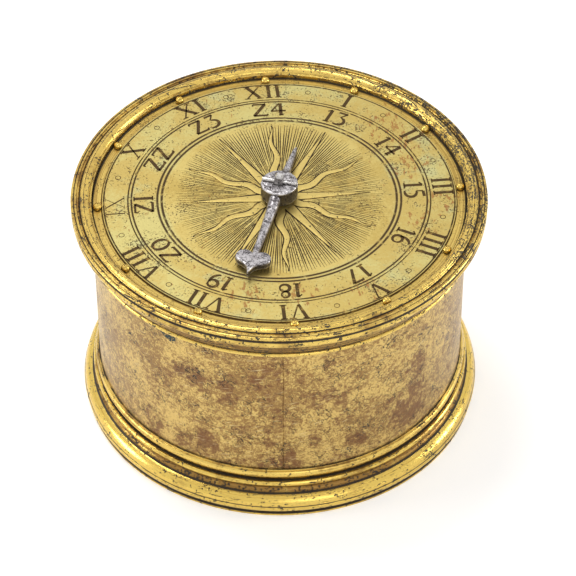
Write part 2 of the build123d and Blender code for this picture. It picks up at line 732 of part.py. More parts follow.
# Great wheel: loose on the winding arbor, four arms
with BuildPart() as great_wheel:
    plane = upright(GREAT_AT, GREAT_Z, bearing(GREAT_AT, SECOND_AT))
    toothed_disc(plane, wheel_points(GREAT_TEETH, GREAT_MODULE), WHEEL_THICKNESS)
    crossings(plane, 9.6, 10.6, 4, 1.6, WHEEL_THICKNESS)
    bored(
        [(GREAT_AT, WINDING_RADIUS + PIVOT_CLEARANCE), (CLICK_AT, SCREW_RADIUS + SEAT_CLEARANCE)],
        WHEEL_THICKNESS,
        GREAT_Z,
    )
save(great_wheel, "great_wheel")

# Stud the click turns on, riveted through the great wheel
with BuildPart() as click_stud:
    turned(
        (
            (RATCHET_Z - 0.5, SCREW_RADIUS + 0.5),
            (RATCHET_Z - 0.05, SCREW_RADIUS),
            (GREAT_Z + WHEEL_THICKNESS, SCREW_RADIUS),
        ),
        CLICK_AT,
    )
save(click_stud, "click_stud")

# Click: a tapering lever whose nose points at the ratchet
with BuildPart() as click:
    with BuildSketch(Plane.XY.offset(RATCHET_Z)):
        with Locations(CLICK_AT):
            Circle(1.3)
        with Locations(polar(RATCHET_RADIUS + REST_GAP + CLICK_NOSE, CLICK_ANGLE + 38, GREAT_AT)):
            Circle(CLICK_NOSE)
        make_hull()
        with Locations(CLICK_AT):
            Circle(SCREW_RADIUS + PIVOT_CLEARANCE, mode=Mode.SUBTRACT)
    extrude(amount=GREAT_Z - RATCHET_Z - REST_GAP)
save(click, "click")

# Click spring: a curved leaf under the great wheel
with BuildPart() as click_spring:
    with BuildSketch(upright(GREAT_AT, RATCHET_Z)):
        with BuildLine():
            CenterArc((0, 0), CLICK_SPRING_LINE, CLICK_ANGLE + 34, 64)
        trace(line_width=0.5)
        with Locations(polar(CLICK_SPRING_LINE, CLICK_ANGLE + 98)):
            Circle(0.9)
    extrude(amount=GREAT_Z - RATCHET_Z)
save(click_spring, "click_spring")

# Winding arbor: squared below for the key, a shoulder, and the drum that takes the spring
with BuildPart() as winding_arbor:
    turned(
        (
            (WINDING_SQUARE_Z, SNAIL_BORE),
            (BOTTOM_PLATE_Z - RUN_GAP, WINDING_RADIUS),
            (GREAT_Z + WHEEL_THICKNESS + REST_GAP, SPRING_ARBOR),
            (SPRING_Z + SPRING_HEIGHT + 0.4, WINDING_PIVOT),
            (TOP_PLATE_TOP, WINDING_PIVOT),
        ),
        GREAT_AT,
    )
    with BuildSketch(upright(GREAT_AT, WINDING_SQUARE_Z)):
        Rectangle(WINDING_SQUARE, WINDING_SQUARE)
    extrude(amount=-WINDING_SQUARE_LENGTH)
    with BuildSketch(upright(GREAT_AT, BOTTOM_PLATE_TOP + REST_GAP)):
        Circle(SPRING_ARBOR + 0.4)
    extrude(amount=0.8)
save(winding_arbor, "winding_arbor")

# Ratchet wheel on the winding arbor
with BuildPart() as ratchet_wheel:
    pitch = 360 / RATCHET_TEETH
    teeth = []
    for i in range(RATCHET_TEETH):
        teeth.append(polar(RATCHET_RADIUS, i * pitch))
        teeth.append(polar(RATCHET_RADIUS - 0.7, (i + 0.12) * pitch))
    toothed_disc(upright(GREAT_AT, RATCHET_Z), teeth, GREAT_Z - RATCHET_Z - REST_GAP)
    bored([(GREAT_AT, WINDING_RADIUS + SEAT_CLEARANCE)], GREAT_Z - RATCHET_Z, RATCHET_Z)
save(ratchet_wheel, "ratchet_wheel")

# Pinion on the winding arbor that drives the snail wheel
with BuildPart() as snail_pinion:
    turn = bearing(GREAT_AT, LETDOWN_AT) + 180 / LETDOWN_PINION
    low = LETDOWN_Z - REST_GAP
    height = WHEEL_THICKNESS + 3 * REST_GAP
    points = pinion_points(LETDOWN_PINION, LETDOWN_MODULE)
    toothed_disc(upright(GREAT_AT, low, turn), points, height)
    bored([(GREAT_AT, SNAIL_BORE + SEAT_CLEARANCE)], height, low)
save(snail_pinion, "snail_pinion")

# Snail wheel on its stud
with BuildPart() as snail_wheel:
    plane = upright(LETDOWN_AT, LETDOWN_Z, bearing(LETDOWN_AT, GREAT_AT))
    toothed_disc(plane, wheel_points(LETDOWN_TEETH, LETDOWN_MODULE), WHEEL_THICKNESS)
    bored([(LETDOWN_AT, STUD_RADIUS + PIVOT_CLEARANCE)], WHEEL_THICKNESS, LETDOWN_Z)
save(snail_wheel, "snail_wheel")

# Snail: a spiral cam under the wheel, highest under the roller when the spring is wound
with BuildPart() as snail:
    steps = 24
    with BuildSketch(upright(LETDOWN_AT, SNAIL_Z, SNAIL_BEARING)):
        with BuildLine():
            fall = [
                polar(SNAIL_HIGH - (SNAIL_HIGH - SNAIL_LOW) * i / steps, -SNAIL_SWEEP * i / steps)
                for i in range(steps + 1)
            ]
            Spline(*fall)
            CenterArc((0, 0), SNAIL_LOW, SNAIL_BACK, 360 - SNAIL_SWEEP - SNAIL_BACK)
            Line(polar(SNAIL_LOW, SNAIL_BACK), polar(SNAIL_HIGH, SNAIL_BACK))
            CenterArc((0, 0), SNAIL_HIGH, 0, SNAIL_BACK)
        make_face()
    extrude(amount=LETDOWN_Z - SNAIL_Z)
    bored([(LETDOWN_AT, STUD_RADIUS + PIVOT_CLEARANCE)], LETDOWN_Z - SNAIL_Z, SNAIL_Z)
save(snail, "snail")

# Stud of the snail wheel
with BuildPart() as snail_stud:
    turned(
        (
            (SNAIL_Z - 0.9, STUD_RADIUS + 0.7),
            (SNAIL_Z - REST_GAP, STUD_RADIUS),
            (BOTTOM_PLATE_TOP, STUD_RADIUS),
        ),
        LETDOWN_AT,
    )
save(snail_stud, "snail_stud")

# Stackfreed spring: a leaf bent round the edge of the plate, its end lug under the roller
with BuildPart() as stackfreed_spring:
    low = SNAIL_Z - LUG_THICKNESS - REST_GAP
    roller_bearing = bearing((0, 0), ROLLER_AT)
    with BuildSketch(Plane.XY.offset(low)):
        with BuildLine():
            CenterArc(
                (0, 0), SPRING_LINE, roller_bearing, SPRING_FOOT_ANGLE - roller_bearing % 360
            )
        trace(line_width=1.1)
    extrude(amount=BOTTOM_PLATE_Z - low - 1.6)
    with BuildSketch(Plane.XY.offset(low)):
        with Locations(ROLLER_AT, polar(SPRING_LINE, roller_bearing)):
            Circle(1.1)
        make_hull()
    extrude(amount=LUG_THICKNESS)
    with BuildSketch(Plane.XY.offset(low)):
        with Locations(SPRING_FOOT_AT):
            Circle(SCREW_RADIUS + 1.0)
        with Locations(polar(SPRING_LINE, SPRING_FOOT_ANGLE)):
            Circle(0.55)
        make_hull()
    extrude(amount=BOTTOM_PLATE_Z - low)
    bored([(SPRING_FOOT_AT, SCREW_RADIUS + SEAT_CLEARANCE)], BOTTOM_PLATE_Z - low, low)
    bored([(ROLLER_AT, ROLLER_PIN + SEAT_CLEARANCE)], LUG_THICKNESS, low)
save(stackfreed_spring, "stackfreed_spring")

# Roller of the stackfreed and its pin
with BuildPart() as roller:
    with BuildSketch(upright(ROLLER_AT, SNAIL_Z)):
        Circle(ROLLER_RADIUS)
        Circle(ROLLER_PIN + PIVOT_CLEARANCE, mode=Mode.SUBTRACT)
    extrude(amount=LETDOWN_Z - SNAIL_Z - RUN_GAP)
save(roller, "roller")

with BuildPart() as roller_pin:
    with BuildSketch(upright(ROLLER_AT, SNAIL_Z - LUG_THICKNESS - REST_GAP)):
        Circle(ROLLER_PIN)
    extrude(amount=LETDOWN_Z - SNAIL_Z + LUG_THICKNESS)
save(roller_pin, "roller_pin")

# Mainspring: an open coil, its outer end looped round a post on the bottom plate
with BuildPart() as mainspring:
    turns = SPRING_TURNS * 360
    samples = int(SPRING_TURNS * 12)
    inner_radius = SPRING_ARBOR + RUN_GAP
    growth = (SPRING_OUTER - inner_radius - SPRING_STRIP) / samples
    with BuildSketch(upright(GREAT_AT, SPRING_Z, SPRING_END_ANGLE)):
        with BuildLine():
            face = [polar(inner_radius + growth * i, turns * i / samples) for i in range(samples + 1)]
            back = [
                polar(inner_radius + SPRING_STRIP + growth * i, turns * i / samples)
                for i in range(samples + 1)
            ]
            Spline(*face)
            Line(face[-1], back[-1])
            Spline(*back[::-1])
            Line(back[0], face[0])
        make_face()
    extrude(amount=SPRING_HEIGHT)
save(mainspring, "mainspring")

# Post under the top plate that holds the mainspring's outer end
with BuildPart() as spring_post:
    turned(
        (
            (SPRING_Z, STUD_RADIUS + 0.3),
            (TOP_PLATE_Z, STUD_RADIUS),
            (TOP_PLATE_TOP, STUD_RADIUS),
        ),
        SPRING_POST_AT,
    )
save(spring_post, "spring_post")

# Second wheel with its arbor: pinion of seven, wheel, and the pinion that drives the hand
with BuildPart() as second_wheel:
    plane = upright(SECOND_AT, SECOND_Z, bearing(SECOND_AT, CONTRATE_AT))
    toothed_disc(plane, wheel_points(SECOND_TEETH, SECOND_MODULE), WHEEL_THICKNESS)
    crossings(plane, 2.6, 9.4, 3, 1.4, WHEEL_THICKNESS)
    bored([(SECOND_AT, ARBOR_RADIUS + SEAT_CLEARANCE)], WHEEL_THICKNESS, SECOND_Z)
save(second_wheel, "second_wheel")

with BuildPart() as second_arbor:
    turned(
        (
            (BOTTOM_PLATE_Z, PIVOT),
            (BOTTOM_PLATE_TOP + REST_GAP, ARBOR_RADIUS),
            (TOP_PLATE_TOP + RUN_GAP, REPORT_BORE),
            (TOP_PLATE_TOP + REPORT_RISE, REPORT_BORE),
        ),
        SECOND_AT,
    )
    pinion_plane = upright(
        SECOND_AT, GREAT_Z - 0.5, bearing(SECOND_AT, GREAT_AT) + 180 / SECOND_PINION
    )
    toothed_disc(
        pinion_plane, pinion_points(SECOND_PINION, GREAT_MODULE), WHEEL_THICKNESS + 1.0
    )
save(second_arbor, "second_arbor")

with BuildPart() as report_pinion:
    low = HOUR_WHEEL_Z - REST_GAP
    turn = bearing(SECOND_AT, (0, 0)) + 180 / REPORT_PINION
    height = WHEEL_THICKNESS + 2 * REST_GAP
    toothed_disc(
        upright(SECOND_AT, low, turn), pinion_points(REPORT_PINION, HOUR_MODULE), height
    )
    bored([(SECOND_AT, REPORT_BORE + SEAT_CLEARANCE)], height, low)
save(report_pinion, "report_pinion")

# Contrate wheel: teeth standing on the rim, to turn the drive through a right angle
with BuildPart() as contrate_wheel:
    with BuildSketch(upright(CONTRATE_AT, CONTRATE_Z)):
        Circle(CONTRATE_RADIUS + CONTRATE_WALL / 2)
    extrude(amount=CONTRATE_TIP_Z - CONTRATE_Z)
    with BuildSketch(upright(CONTRATE_AT, CONTRATE_Z + CONTRATE_WEB)):
        Circle(CONTRATE_RADIUS - CONTRATE_WALL / 2)
    extrude(amount=CONTRATE_TIP_Z - CONTRATE_Z, mode=Mode.SUBTRACT)
    crossings(
        upright(CONTRATE_AT, CONTRATE_Z), 2.4, CONTRATE_RADIUS - 1.1, 3, 1.2, CONTRATE_WEB
    )
    bored([(CONTRATE_AT, ARBOR_RADIUS + SEAT_CLEARANCE)], CONTRATE_WEB, CONTRATE_Z)
    pitch = 2 * pi * CONTRATE_RADIUS / CONTRATE_TEETH
    rise = CONTRATE_TIP_Z - CONTRATE_ROOT_Z
    with BuildSketch(
        *tooth_planes(
            (*CONTRATE_AT, CONTRATE_ROOT_Z),
            (0, 0, 1),
            (*polar(1, CROWN_BEARING), 0),
            CONTRATE_TEETH,
            0.5,
        )
    ):
        with BuildLine():
            Polyline(
                (-0.27 * pitch, 0),
                (0.27 * pitch, 0),
                (0.46 * pitch, rise + 0.1),
                (-0.46 * pitch, rise + 0.1),
                close=True,
            )
        make_face()
    extrude(amount=CONTRATE_RADIUS + CONTRATE_WALL, mode=Mode.SUBTRACT)
save(contrate_wheel, "contrate_wheel")

with BuildPart() as contrate_arbor:
    turned(
        (
            (BOTTOM_PLATE_Z, PIVOT),
            (BOTTOM_PLATE_TOP + REST_GAP, ARBOR_RADIUS),
            (TOP_PLATE_Z - REST_GAP, PIVOT),
            (TOP_PLATE_TOP, PIVOT),
        ),
        CONTRATE_AT,
    )
    turn = bearing(CONTRATE_AT, SECOND_AT) + 180 / THIRD_PINION
    toothed_disc(
        upright(CONTRATE_AT, SECOND_Z - 0.5, turn),
        pinion_points(THIRD_PINION, SECOND_MODULE),
        WHEEL_THICKNESS + 1.0,
    )
save(contrate_arbor, "contrate_arbor")

# Crown wheel: slanting teeth round its rim, an odd number so that the pallets take turns
with BuildPart() as crown_wheel:
    with BuildSketch(crown_plane(CROWN_WEB)):
        Circle(CROWN_RADIUS)
    extrude(amount=CROWN_TIP - CROWN_WEB)
    with BuildSketch(crown_plane(CROWN_WEB + 0.7)):
        Circle(CROWN_RADIUS - CROWN_WALL)
    extrude(amount=CROWN_TIP - CROWN_WEB, mode=Mode.SUBTRACT)
    with BuildSketch(crown_plane(CROWN_WEB)):
        Circle(CROWN_RADIUS - 1.3)
        Circle(1.9, mode=Mode.SUBTRACT)
        with PolarLocations(0, 3):
            Rectangle(
                CROWN_RADIUS, 0.9, align=(Align.MIN, Align.CENTER), mode=Mode.SUBTRACT
            )
    extrude(amount=0.7, mode=Mode.SUBTRACT)
    with BuildSketch(crown_plane(CROWN_WEB)):
        Circle(CROWN_ARBOR + SEAT_CLEARANCE)
    extrude(amount=0.7, mode=Mode.SUBTRACT)
    pitch = 2 * pi * CROWN_RADIUS / CROWN_TEETH
    depth = CROWN_TIP - CROWN_ROOT
    crown_foot = (*polar(CROWN_ROOT, CROWN_BEARING, CONTRATE_AT), CROWN_AXIS_Z)
    crown_axis = (*polar(1, CROWN_BEARING), 0)
    with BuildSketch(*tooth_planes(crown_foot, crown_axis, (0, 0, 1), CROWN_TEETH)):
        with BuildLine():
            Polyline(
                (-0.1 * pitch, depth + 0.1), (0, 0), (0.72 * pitch, depth + 0.1), close=True
            )
        make_face()
    extrude(amount=CROWN_RADIUS + 1.0, mode=Mode.SUBTRACT)
save(crown_wheel, "crown_wheel")

with BuildPart() as crown_arbor:
    with BuildSketch(crown_plane(CROWN_INNER_PIVOT)):
        Circle(PIVOT)
    extrude(amount=CROWN_TIP - 1.2 - CROWN_INNER_PIVOT)
    with BuildSketch(crown_plane(CROWN_INNER_PIVOT + BRACKET + REST_GAP)):
        Circle(CROWN_ARBOR)
    extrude(amount=CROWN_BRACKET - CROWN_INNER_PIVOT - BRACKET - 2 * REST_GAP)
    with BuildSketch(crown_plane(CROWN_BRACKET + BRACKET + REST_GAP)):
        Circle(CROWN_ARBOR)
    extrude(amount=CROWN_WEB + 1.0 - CROWN_BRACKET - BRACKET)
    with BuildSketch(crown_plane(CONTRATE_RADIUS - CONTRATE_WALL / 2, 180 / CROWN_PINION)):
        with BuildLine():
            Polyline(*pinion_points(CROWN_PINION, CROWN_MODULE), close=True)
        make_face()
    extrude(amount=0.9)
save(crown_arbor, "crown_arbor")


def bracket(distance, foot):
    """Flat bracket hanging from the top plate, bored for the crown wheel's arbor."""
    plane = crown_plane(distance)
    drop = TOP_PLATE_Z - CROWN_AXIS_Z
    with BuildSketch(plane) as outline:
        with BuildLine():
            Polyline(
                (-drop, -foot / 2),
                (-drop, foot / 2),
                (-drop + 1.4, foot / 2),
                (-drop + 2.0, 1.1),
                (0, 1.1),
            )
            ThreePointArc((0, 1.1), (1.1, 0), (0, -1.1))
            Polyline((0, -1.1), (-drop + 2.0, -1.1), (-drop + 1.4, -foot / 2), (-drop, -foot / 2))
        make_face()
        Circle(PIVOT_HOLE, mode=Mode.SUBTRACT)
    extrude(outline.sketch, amount=BRACKET)


# Potence behind the crown wheel and counter-potence at the inner end of its arbor
with BuildPart() as potence:
    bracket(CROWN_BRACKET, 6.0)
save(potence, "potence")

with BuildPart() as counter_potence:
    bracket(CROWN_INNER_PIVOT, 5.0)
save(counter_potence, "counter_potence")

# Verge: upright staff with two pallets, one at the top and one at the foot of the crown wheel
with BuildPart() as verge:
    turned(
        (
            (COCK_Z - COCK_THICKNESS, PIVOT),
            (COCK_Z + REST_GAP, VERGE_RADIUS),
            (TOP_PLATE_Z - REST_GAP, PIVOT),
            (TOP_PLATE_TOP, PIVOT),
        ),
        VERGE_AT,
    )
    for side in (-1, 1):
        middle = CROWN_AXIS_Z + side * (CROWN_RADIUS - CROWN_WALL / 2)
        turn = CROWN_BEARING + 180 + side * PALLET_ANGLE
        with BuildSketch(upright(VERGE_AT, middle - PALLET_HEIGHT / 2, turn)):
            Rectangle(PALLET_REACH, PALLET_WIDTH, align=(Align.MIN, Align.CENTER))
        extrude(amount=PALLET_HEIGHT)
save(verge, "verge")

# Balance: a plain ring on a bar, under the bottom plate
with BuildPart() as balance_wheel:
    with BuildSketch(upright(VERGE_AT, BALANCE_Z, CROWN_BEARING + 35)):
        Circle(BALANCE_RADIUS)
        Circle(BALANCE_RADIUS - BALANCE_RIM, mode=Mode.SUBTRACT)
        Rectangle(2 * BALANCE_RADIUS - BALANCE_RIM, 1.5)
        Circle(2.0)
        Circle(VERGE_RADIUS + SEAT_CLEARANCE, mode=Mode.SUBTRACT)
    extrude(amount=BALANCE_THICKNESS)
save(balance_wheel, "balance_wheel")

# Balance cock: carries the verge's lower pivot, screwed under the bottom plate
with BuildPart() as balance_cock:
    with BuildSketch(Plane.XY.offset(COCK_Z - COCK_THICKNESS)):
        with Locations(VERGE_AT):
            Circle(2.0)
        with Locations(*COCK_SCREWS_AT):
            Circle(SCREW_RADIUS + 1.1)
        make_hull()
    extrude(amount=COCK_THICKNESS)
    with BuildSketch(Plane.XY.offset(COCK_Z)):
        with Locations(*COCK_SCREWS_AT):
            Circle(SCREW_RADIUS + 1.1)
        make_hull()
    extrude(amount=BOTTOM_PLATE_Z - COCK_Z)
    bored([(VERGE_AT, PIVOT_HOLE)], COCK_THICKNESS, COCK_Z - COCK_THICKNESS)
    bored(
        [(at, SCREW_RADIUS + SEAT_CLEARANCE) for at in COCK_SCREWS_AT],
        BOTTOM_PLATE_Z - COCK_Z + COCK_THICKNESS,
        COCK_Z - COCK_THICKNESS,
    )
save(balance_cock, "balance_cock")

# Screws of the balance cock and of the stackfreed spring
with BuildPart() as plate_screws:
    heads_at = [(at, COCK_Z - COCK_THICKNESS) for at in COCK_SCREWS_AT]
    heads_at.append((SPRING_FOOT_AT, SNAIL_Z - LUG_THICKNESS - REST_GAP))
    for at, face in heads_at:
        turned(
            (
                (face - SCREW_HEAD_HEIGHT, SCREW_RADIUS + 0.7),
                (face, SCREW_RADIUS),
                (BOTTOM_PLATE_TOP, SCREW_RADIUS),
            ),
            at,
        )
        with BuildSketch(upright(at, face - SCREW_HEAD_HEIGHT, 35)):
            Rectangle(2 * SCREW_RADIUS + 2, 0.4)
        extrude(amount=SCREW_HEAD_HEIGHT * 0.4, mode=Mode.SUBTRACT)
save(plate_screws, "plate_screws")

# Hour wheel: turns once in twelve hours, free on the hour arbor
with BuildPart() as hour_wheel:
    plane = upright((0, 0), HOUR_WHEEL_Z, bearing((0, 0), SECOND_AT))
    toothed_disc(plane, wheel_points(HOUR_TEETH, HOUR_MODULE), WHEEL_THICKNESS)
    crossings(plane, 3.4, 11.4, 4, 1.6, WHEEL_THICKNESS)
    bored([((0, 0), HOUR_ARBOR + PIVOT_CLEARANCE)], WHEEL_THICKNESS, HOUR_WHEEL_Z)
save(hour_wheel, "hour_wheel")

# Hour arbor: pivot in the top plate, collar under the wheel, square for the hand
with BuildPart() as hour_arbor:
    turned(
        (
            (TOP_PLATE_Z, HOUR_PIVOT),
            (TOP_PLATE_TOP + REST_GAP, HOUR_ARBOR + 1.0),
            (HOUR_WHEEL_Z - REST_GAP, HOUR_ARBOR),
            (BOSS_Z, HOUR_ARBOR),
        )
    )
    with BuildSketch(upright((0, 0), BOSS_Z, HAND_TURN)):
        Rectangle(SQUARE, SQUARE)
    extrude(amount=BOSS_HEIGHT + SQUARE_RISE)
    chamfer(hour_arbor.edges().group_by(Axis.Z)[-1], SQUARE * 0.18)
    with BuildSketch(HAND_PIN_PLANE):
        Circle(CROSS_PIN_RADIUS + SEAT_CLEARANCE)
    extrude(amount=SQUARE, both=True, mode=Mode.SUBTRACT)
save(hour_arbor, "hour_arbor")

# Friction washer: three bowed arms that let the hand be set against the wheel
with BuildPart() as friction_washer:
    with BuildSketch(Plane.XY.offset(HOUR_WHEEL_Z + WHEEL_THICKNESS + REST_GAP)):
        Circle(HOUR_ARBOR + 1.1)
        with PolarLocations(0, 3):
            with Locations((2.6, 0)):
                SlotOverall(3.4, 1.1)
        Circle(HOUR_ARBOR + SEAT_CLEARANCE, mode=Mode.SUBTRACT)
    extrude(amount=0.5)
save(friction_washer, "friction_washer")

# Hour hand: boss, stem swelling towards it, a trefoil leaf at the tip and a short tail
with BuildPart() as hour_hand:
    blade_z = DIAL_FACE_Z + BLADE_GAP
    half_neck = LEAF_HALF_WIDTH * 0.16
    with BuildSketch(upright((0, 0), blade_z, HAND_TURN)):
        with BuildLine():
            Line((0, STEM_ROOT / 2), (BOSS_RADIUS, STEM_ROOT / 2))
            Spline(
                (BOSS_RADIUS, STEM_ROOT / 2),
                (BOSS_RADIUS * 2, STEM_ROOT * 0.42),
                (HAND_REACH * 0.62, half_neck),
                (LEAF_NOTCH, half_neck),
            )
            Line((LEAF_NOTCH, half_neck), (LEAF_NOTCH, 0))
            Line((LEAF_NOTCH, 0), (0, 0))
            Line((0, 0), (0, STEM_ROOT / 2))
        make_face()
        with BuildLine():
            Line((LEAF_NOTCH, 0), (LEAF_NOTCH, half_neck))
            Spline(
                (LEAF_NOTCH, half_neck),
                (LEAF_NOTCH - 0.85, LEAF_HALF_WIDTH * 0.5),
                (LEAF_NOTCH + 0.4, LEAF_HALF_WIDTH),
                (LEAF_NOTCH + 1.6, LEAF_HALF_WIDTH * 0.55),
                tangents=((-1, 0.5), (0.3, -1)),
            )
            Spline(
                (LEAF_NOTCH + 1.6, LEAF_HALF_WIDTH * 0.55),
                (LEAF_NOTCH + 2.9, LEAF_HALF_WIDTH * 0.24),
                (HAND_REACH, 0.08),
            )
            Line((HAND_REACH, 0.08), (HAND_REACH, 0))
            Line((HAND_REACH, 0), (LEAF_NOTCH, 0))
        make_face()
        with BuildLine():
            Line((0, 0), (0, STEM_ROOT * 0.4))
            Line((0, STEM_ROOT * 0.4), (-HAND_TAIL + 0.4, 0.4))
            ThreePointArc((-HAND_TAIL + 0.4, 0.4), (-HAND_TAIL + 0.12, 0.28), (-HAND_TAIL, 0))
            Line((-HAND_TAIL, 0), (0, 0))
        make_face()
        mirror(about=Plane.XZ)
    extrude(amount=BLADE_HEIGHT)
    with BuildSketch(upright((0, 0), BOSS_Z)):
        Circle(BOSS_RADIUS)
    extrude(amount=BOSS_HEIGHT)
    chamfer(hour_hand.edges().group_by(Axis.Z)[-1], 0.18)
    with BuildSketch(upright((0, 0), BOSS_Z, HAND_TURN)):
        Rectangle(SQUARE + 2 * SEAT_CLEARANCE, SQUARE + 2 * SEAT_CLEARANCE)
    extrude(amount=BOSS_HEIGHT, mode=Mode.SUBTRACT)
    with BuildSketch(HAND_PIN_PLANE):
        Circle(CROSS_PIN_RADIUS + SEAT_CLEARANCE)
    extrude(amount=BOSS_RADIUS * 2, both=True, mode=Mode.SUBTRACT)
save(hour_hand, "hour_hand")

# Taper pin across the hand's boss
with BuildPart() as hand_pin:
    with BuildSketch(HAND_PIN_PLANE.offset(-BOSS_RADIUS * 0.93)):
        Circle(CROSS_PIN_RADIUS)
    with BuildSketch(HAND_PIN_PLANE.offset(BOSS_RADIUS * 0.93)):
        Circle(CROSS_PIN_RADIUS * 0.75)
    loft()
save(hand_pin, "hand_pin")
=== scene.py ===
"""Drum clock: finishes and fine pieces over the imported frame.

Turned pieces are revolved from their profiles, the dial carries cut numerals and a sunburst,
and every finish is a node material on Object coordinates. Sizes below are millimetres and
become metres when a mesh is made; only the steps and noise scales of the finishes are in metres.
"""

import logging
import operator
from collections.abc import Callable
from dataclasses import dataclass
from enum import Enum
from functools import reduce
from math import cos, pi, radians, sin

import bpy
import numpy as np
from mathutils import Matrix, Vector


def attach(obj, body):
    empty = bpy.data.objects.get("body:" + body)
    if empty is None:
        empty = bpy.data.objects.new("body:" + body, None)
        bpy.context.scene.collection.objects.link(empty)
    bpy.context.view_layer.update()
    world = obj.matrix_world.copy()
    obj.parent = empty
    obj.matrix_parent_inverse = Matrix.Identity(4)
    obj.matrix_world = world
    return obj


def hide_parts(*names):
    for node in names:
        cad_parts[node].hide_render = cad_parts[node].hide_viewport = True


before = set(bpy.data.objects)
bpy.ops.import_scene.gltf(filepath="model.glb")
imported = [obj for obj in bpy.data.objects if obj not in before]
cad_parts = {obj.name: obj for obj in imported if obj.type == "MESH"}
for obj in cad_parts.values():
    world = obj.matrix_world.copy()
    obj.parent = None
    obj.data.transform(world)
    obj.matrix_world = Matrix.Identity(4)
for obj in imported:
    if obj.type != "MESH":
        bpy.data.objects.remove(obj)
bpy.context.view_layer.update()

LOG = logging.getLogger("drum_clock")
MM = 0.001
HOURS = 12
Array = np.ndarray


# Shapes


def arc(start: tuple, through: tuple, end: tuple, count: int = 12) -> Array:
    """Circular arc through three points of a profile.

    The centre is where the bisectors of the two chords meet; the angle then runs evenly from the
    first point past the second to the third.

    Args:
        start: First point (radius, height).
        through: Point on the arc between the ends.
        end: Last point.
        count: Number of points.

    Returns:
        Points of the arc, both ends included.
    """
    a, b, c = (np.array(point, float) for point in (start, through, end))
    system = 2 * np.array([b - a, c - b])
    centre = np.linalg.solve(system, np.array([b @ b - a @ a, c @ c - b @ b]))
    angles = np.arctan2(*(np.array([a, b, c]) - centre).T[::-1])
    first, middle, last = angles
    middle = first + (middle - first) % (2 * pi)
    last = first + (last - first) % (2 * pi)
    if middle > last:
        last -= 2 * pi
    turn = np.linspace(first, last, count)
    radius = np.linalg.norm(a - centre)
    return centre + radius * np.stack([np.cos(turn), np.sin(turn)], 1)


def resample(points: Array, step: float) -> Array:
    """Points along a polyline no further apart than a step, its own corners kept."""
    pieces = []
    for start, end in zip(points[:-1], points[1:]):
        count = max(1, int(np.ceil(np.linalg.norm(end - start) / step)))
        share = np.arange(count)[:, None] / count
        pieces.append(start + (end - start) * share)
    return np.concatenate(pieces)


def distances(line: Array) -> Array:
    """Distance of each point of a polyline from its start, along it."""
    return np.append(0, np.cumsum(np.linalg.norm(np.diff(line, axis=0), axis=1)))


def hour_angle(hour: float) -> float:
    """Angle of an hour on the dial, in radians from +X; XII stands at +Y."""
    return pi / 2 - hour * pi / 6


def axes(angle: float) -> tuple:
    """Unit vectors outwards at an angle and clockwise along the dial."""
    return np.array([cos(angle), sin(angle)]), np.array([sin(angle), -cos(angle)])


def soften(values: Array, times: int) -> Array:
    """Average each value with its neighbours, one half to two quarters, the ends kept."""
    values = values.copy()
    for _ in range(times):
        values[1:-1] = (values[:-2] + 2 * values[1:-1] + values[2:]) / 4
    return values


def add_object(name: str, data) -> bpy.types.Object:
    """Put a mesh, lamp or camera in the scene as an object."""
    made = bpy.data.objects.new(name, data)
    bpy.context.scene.collection.objects.link(made)
    return made


def link(name: str, vertices: Array, faces: Array | list, smooth_angle: float = 35.0) -> bpy.types.Object:
    """Make a mesh object from points in millimetres.

    Args:
        name: Name of the piece.
        vertices: Points, one row each, in millimetres.
        faces: Vertex numbers of each face, as an array or as lists of different lengths.
        smooth_angle: Edges sharper than this stay sharp, in degrees.

    Returns:
        The linked object, its place in its mesh.
    """
    mesh = bpy.data.meshes.new(name)
    mesh.from_pydata((np.asarray(vertices, float) * MM).tolist(), [], [list(face) for face in faces])
    mesh.validate()
    mesh.shade_smooth()
    mesh.set_sharp_from_angle(angle=radians(smooth_angle))
    return add_object(name, mesh)


def grid_faces(rows: int, columns: int, close_rows: bool, close_columns: bool) -> Array:
    """Quads between neighbours of a grid whose points are numbered row by row."""
    row_count = rows if close_rows else rows - 1
    column_count = columns if close_columns else columns - 1
    i, j = np.meshgrid(np.arange(row_count), np.arange(column_count), indexing="ij")
    after_i, after_j = (i + 1) % rows, (j + 1) % columns
    corners = (i * columns + j, i * columns + after_j, after_i * columns + after_j, after_i * columns + j)
    return np.stack([corner.ravel() for corner in corners], 1)


def store(piece: bpy.types.Object, name: str, values: Array) -> None:
    """Keep one number for each vertex as an attribute that a material reads."""
    layer = piece.data.attributes.new(name, "FLOAT", "POINT")
    layer.data.foreach_set("value", np.asarray(values, np.float32).ravel())


@dataclass(frozen=True)
class Run:
    """Part of a profile with its state: brightness lost to tarnish, and dirt with painted shade that fills
    its grooves, gaps and undersides.
    """

    points: object
    tarnish: float = 0.3
    dirt_and_shade: float = 0.0


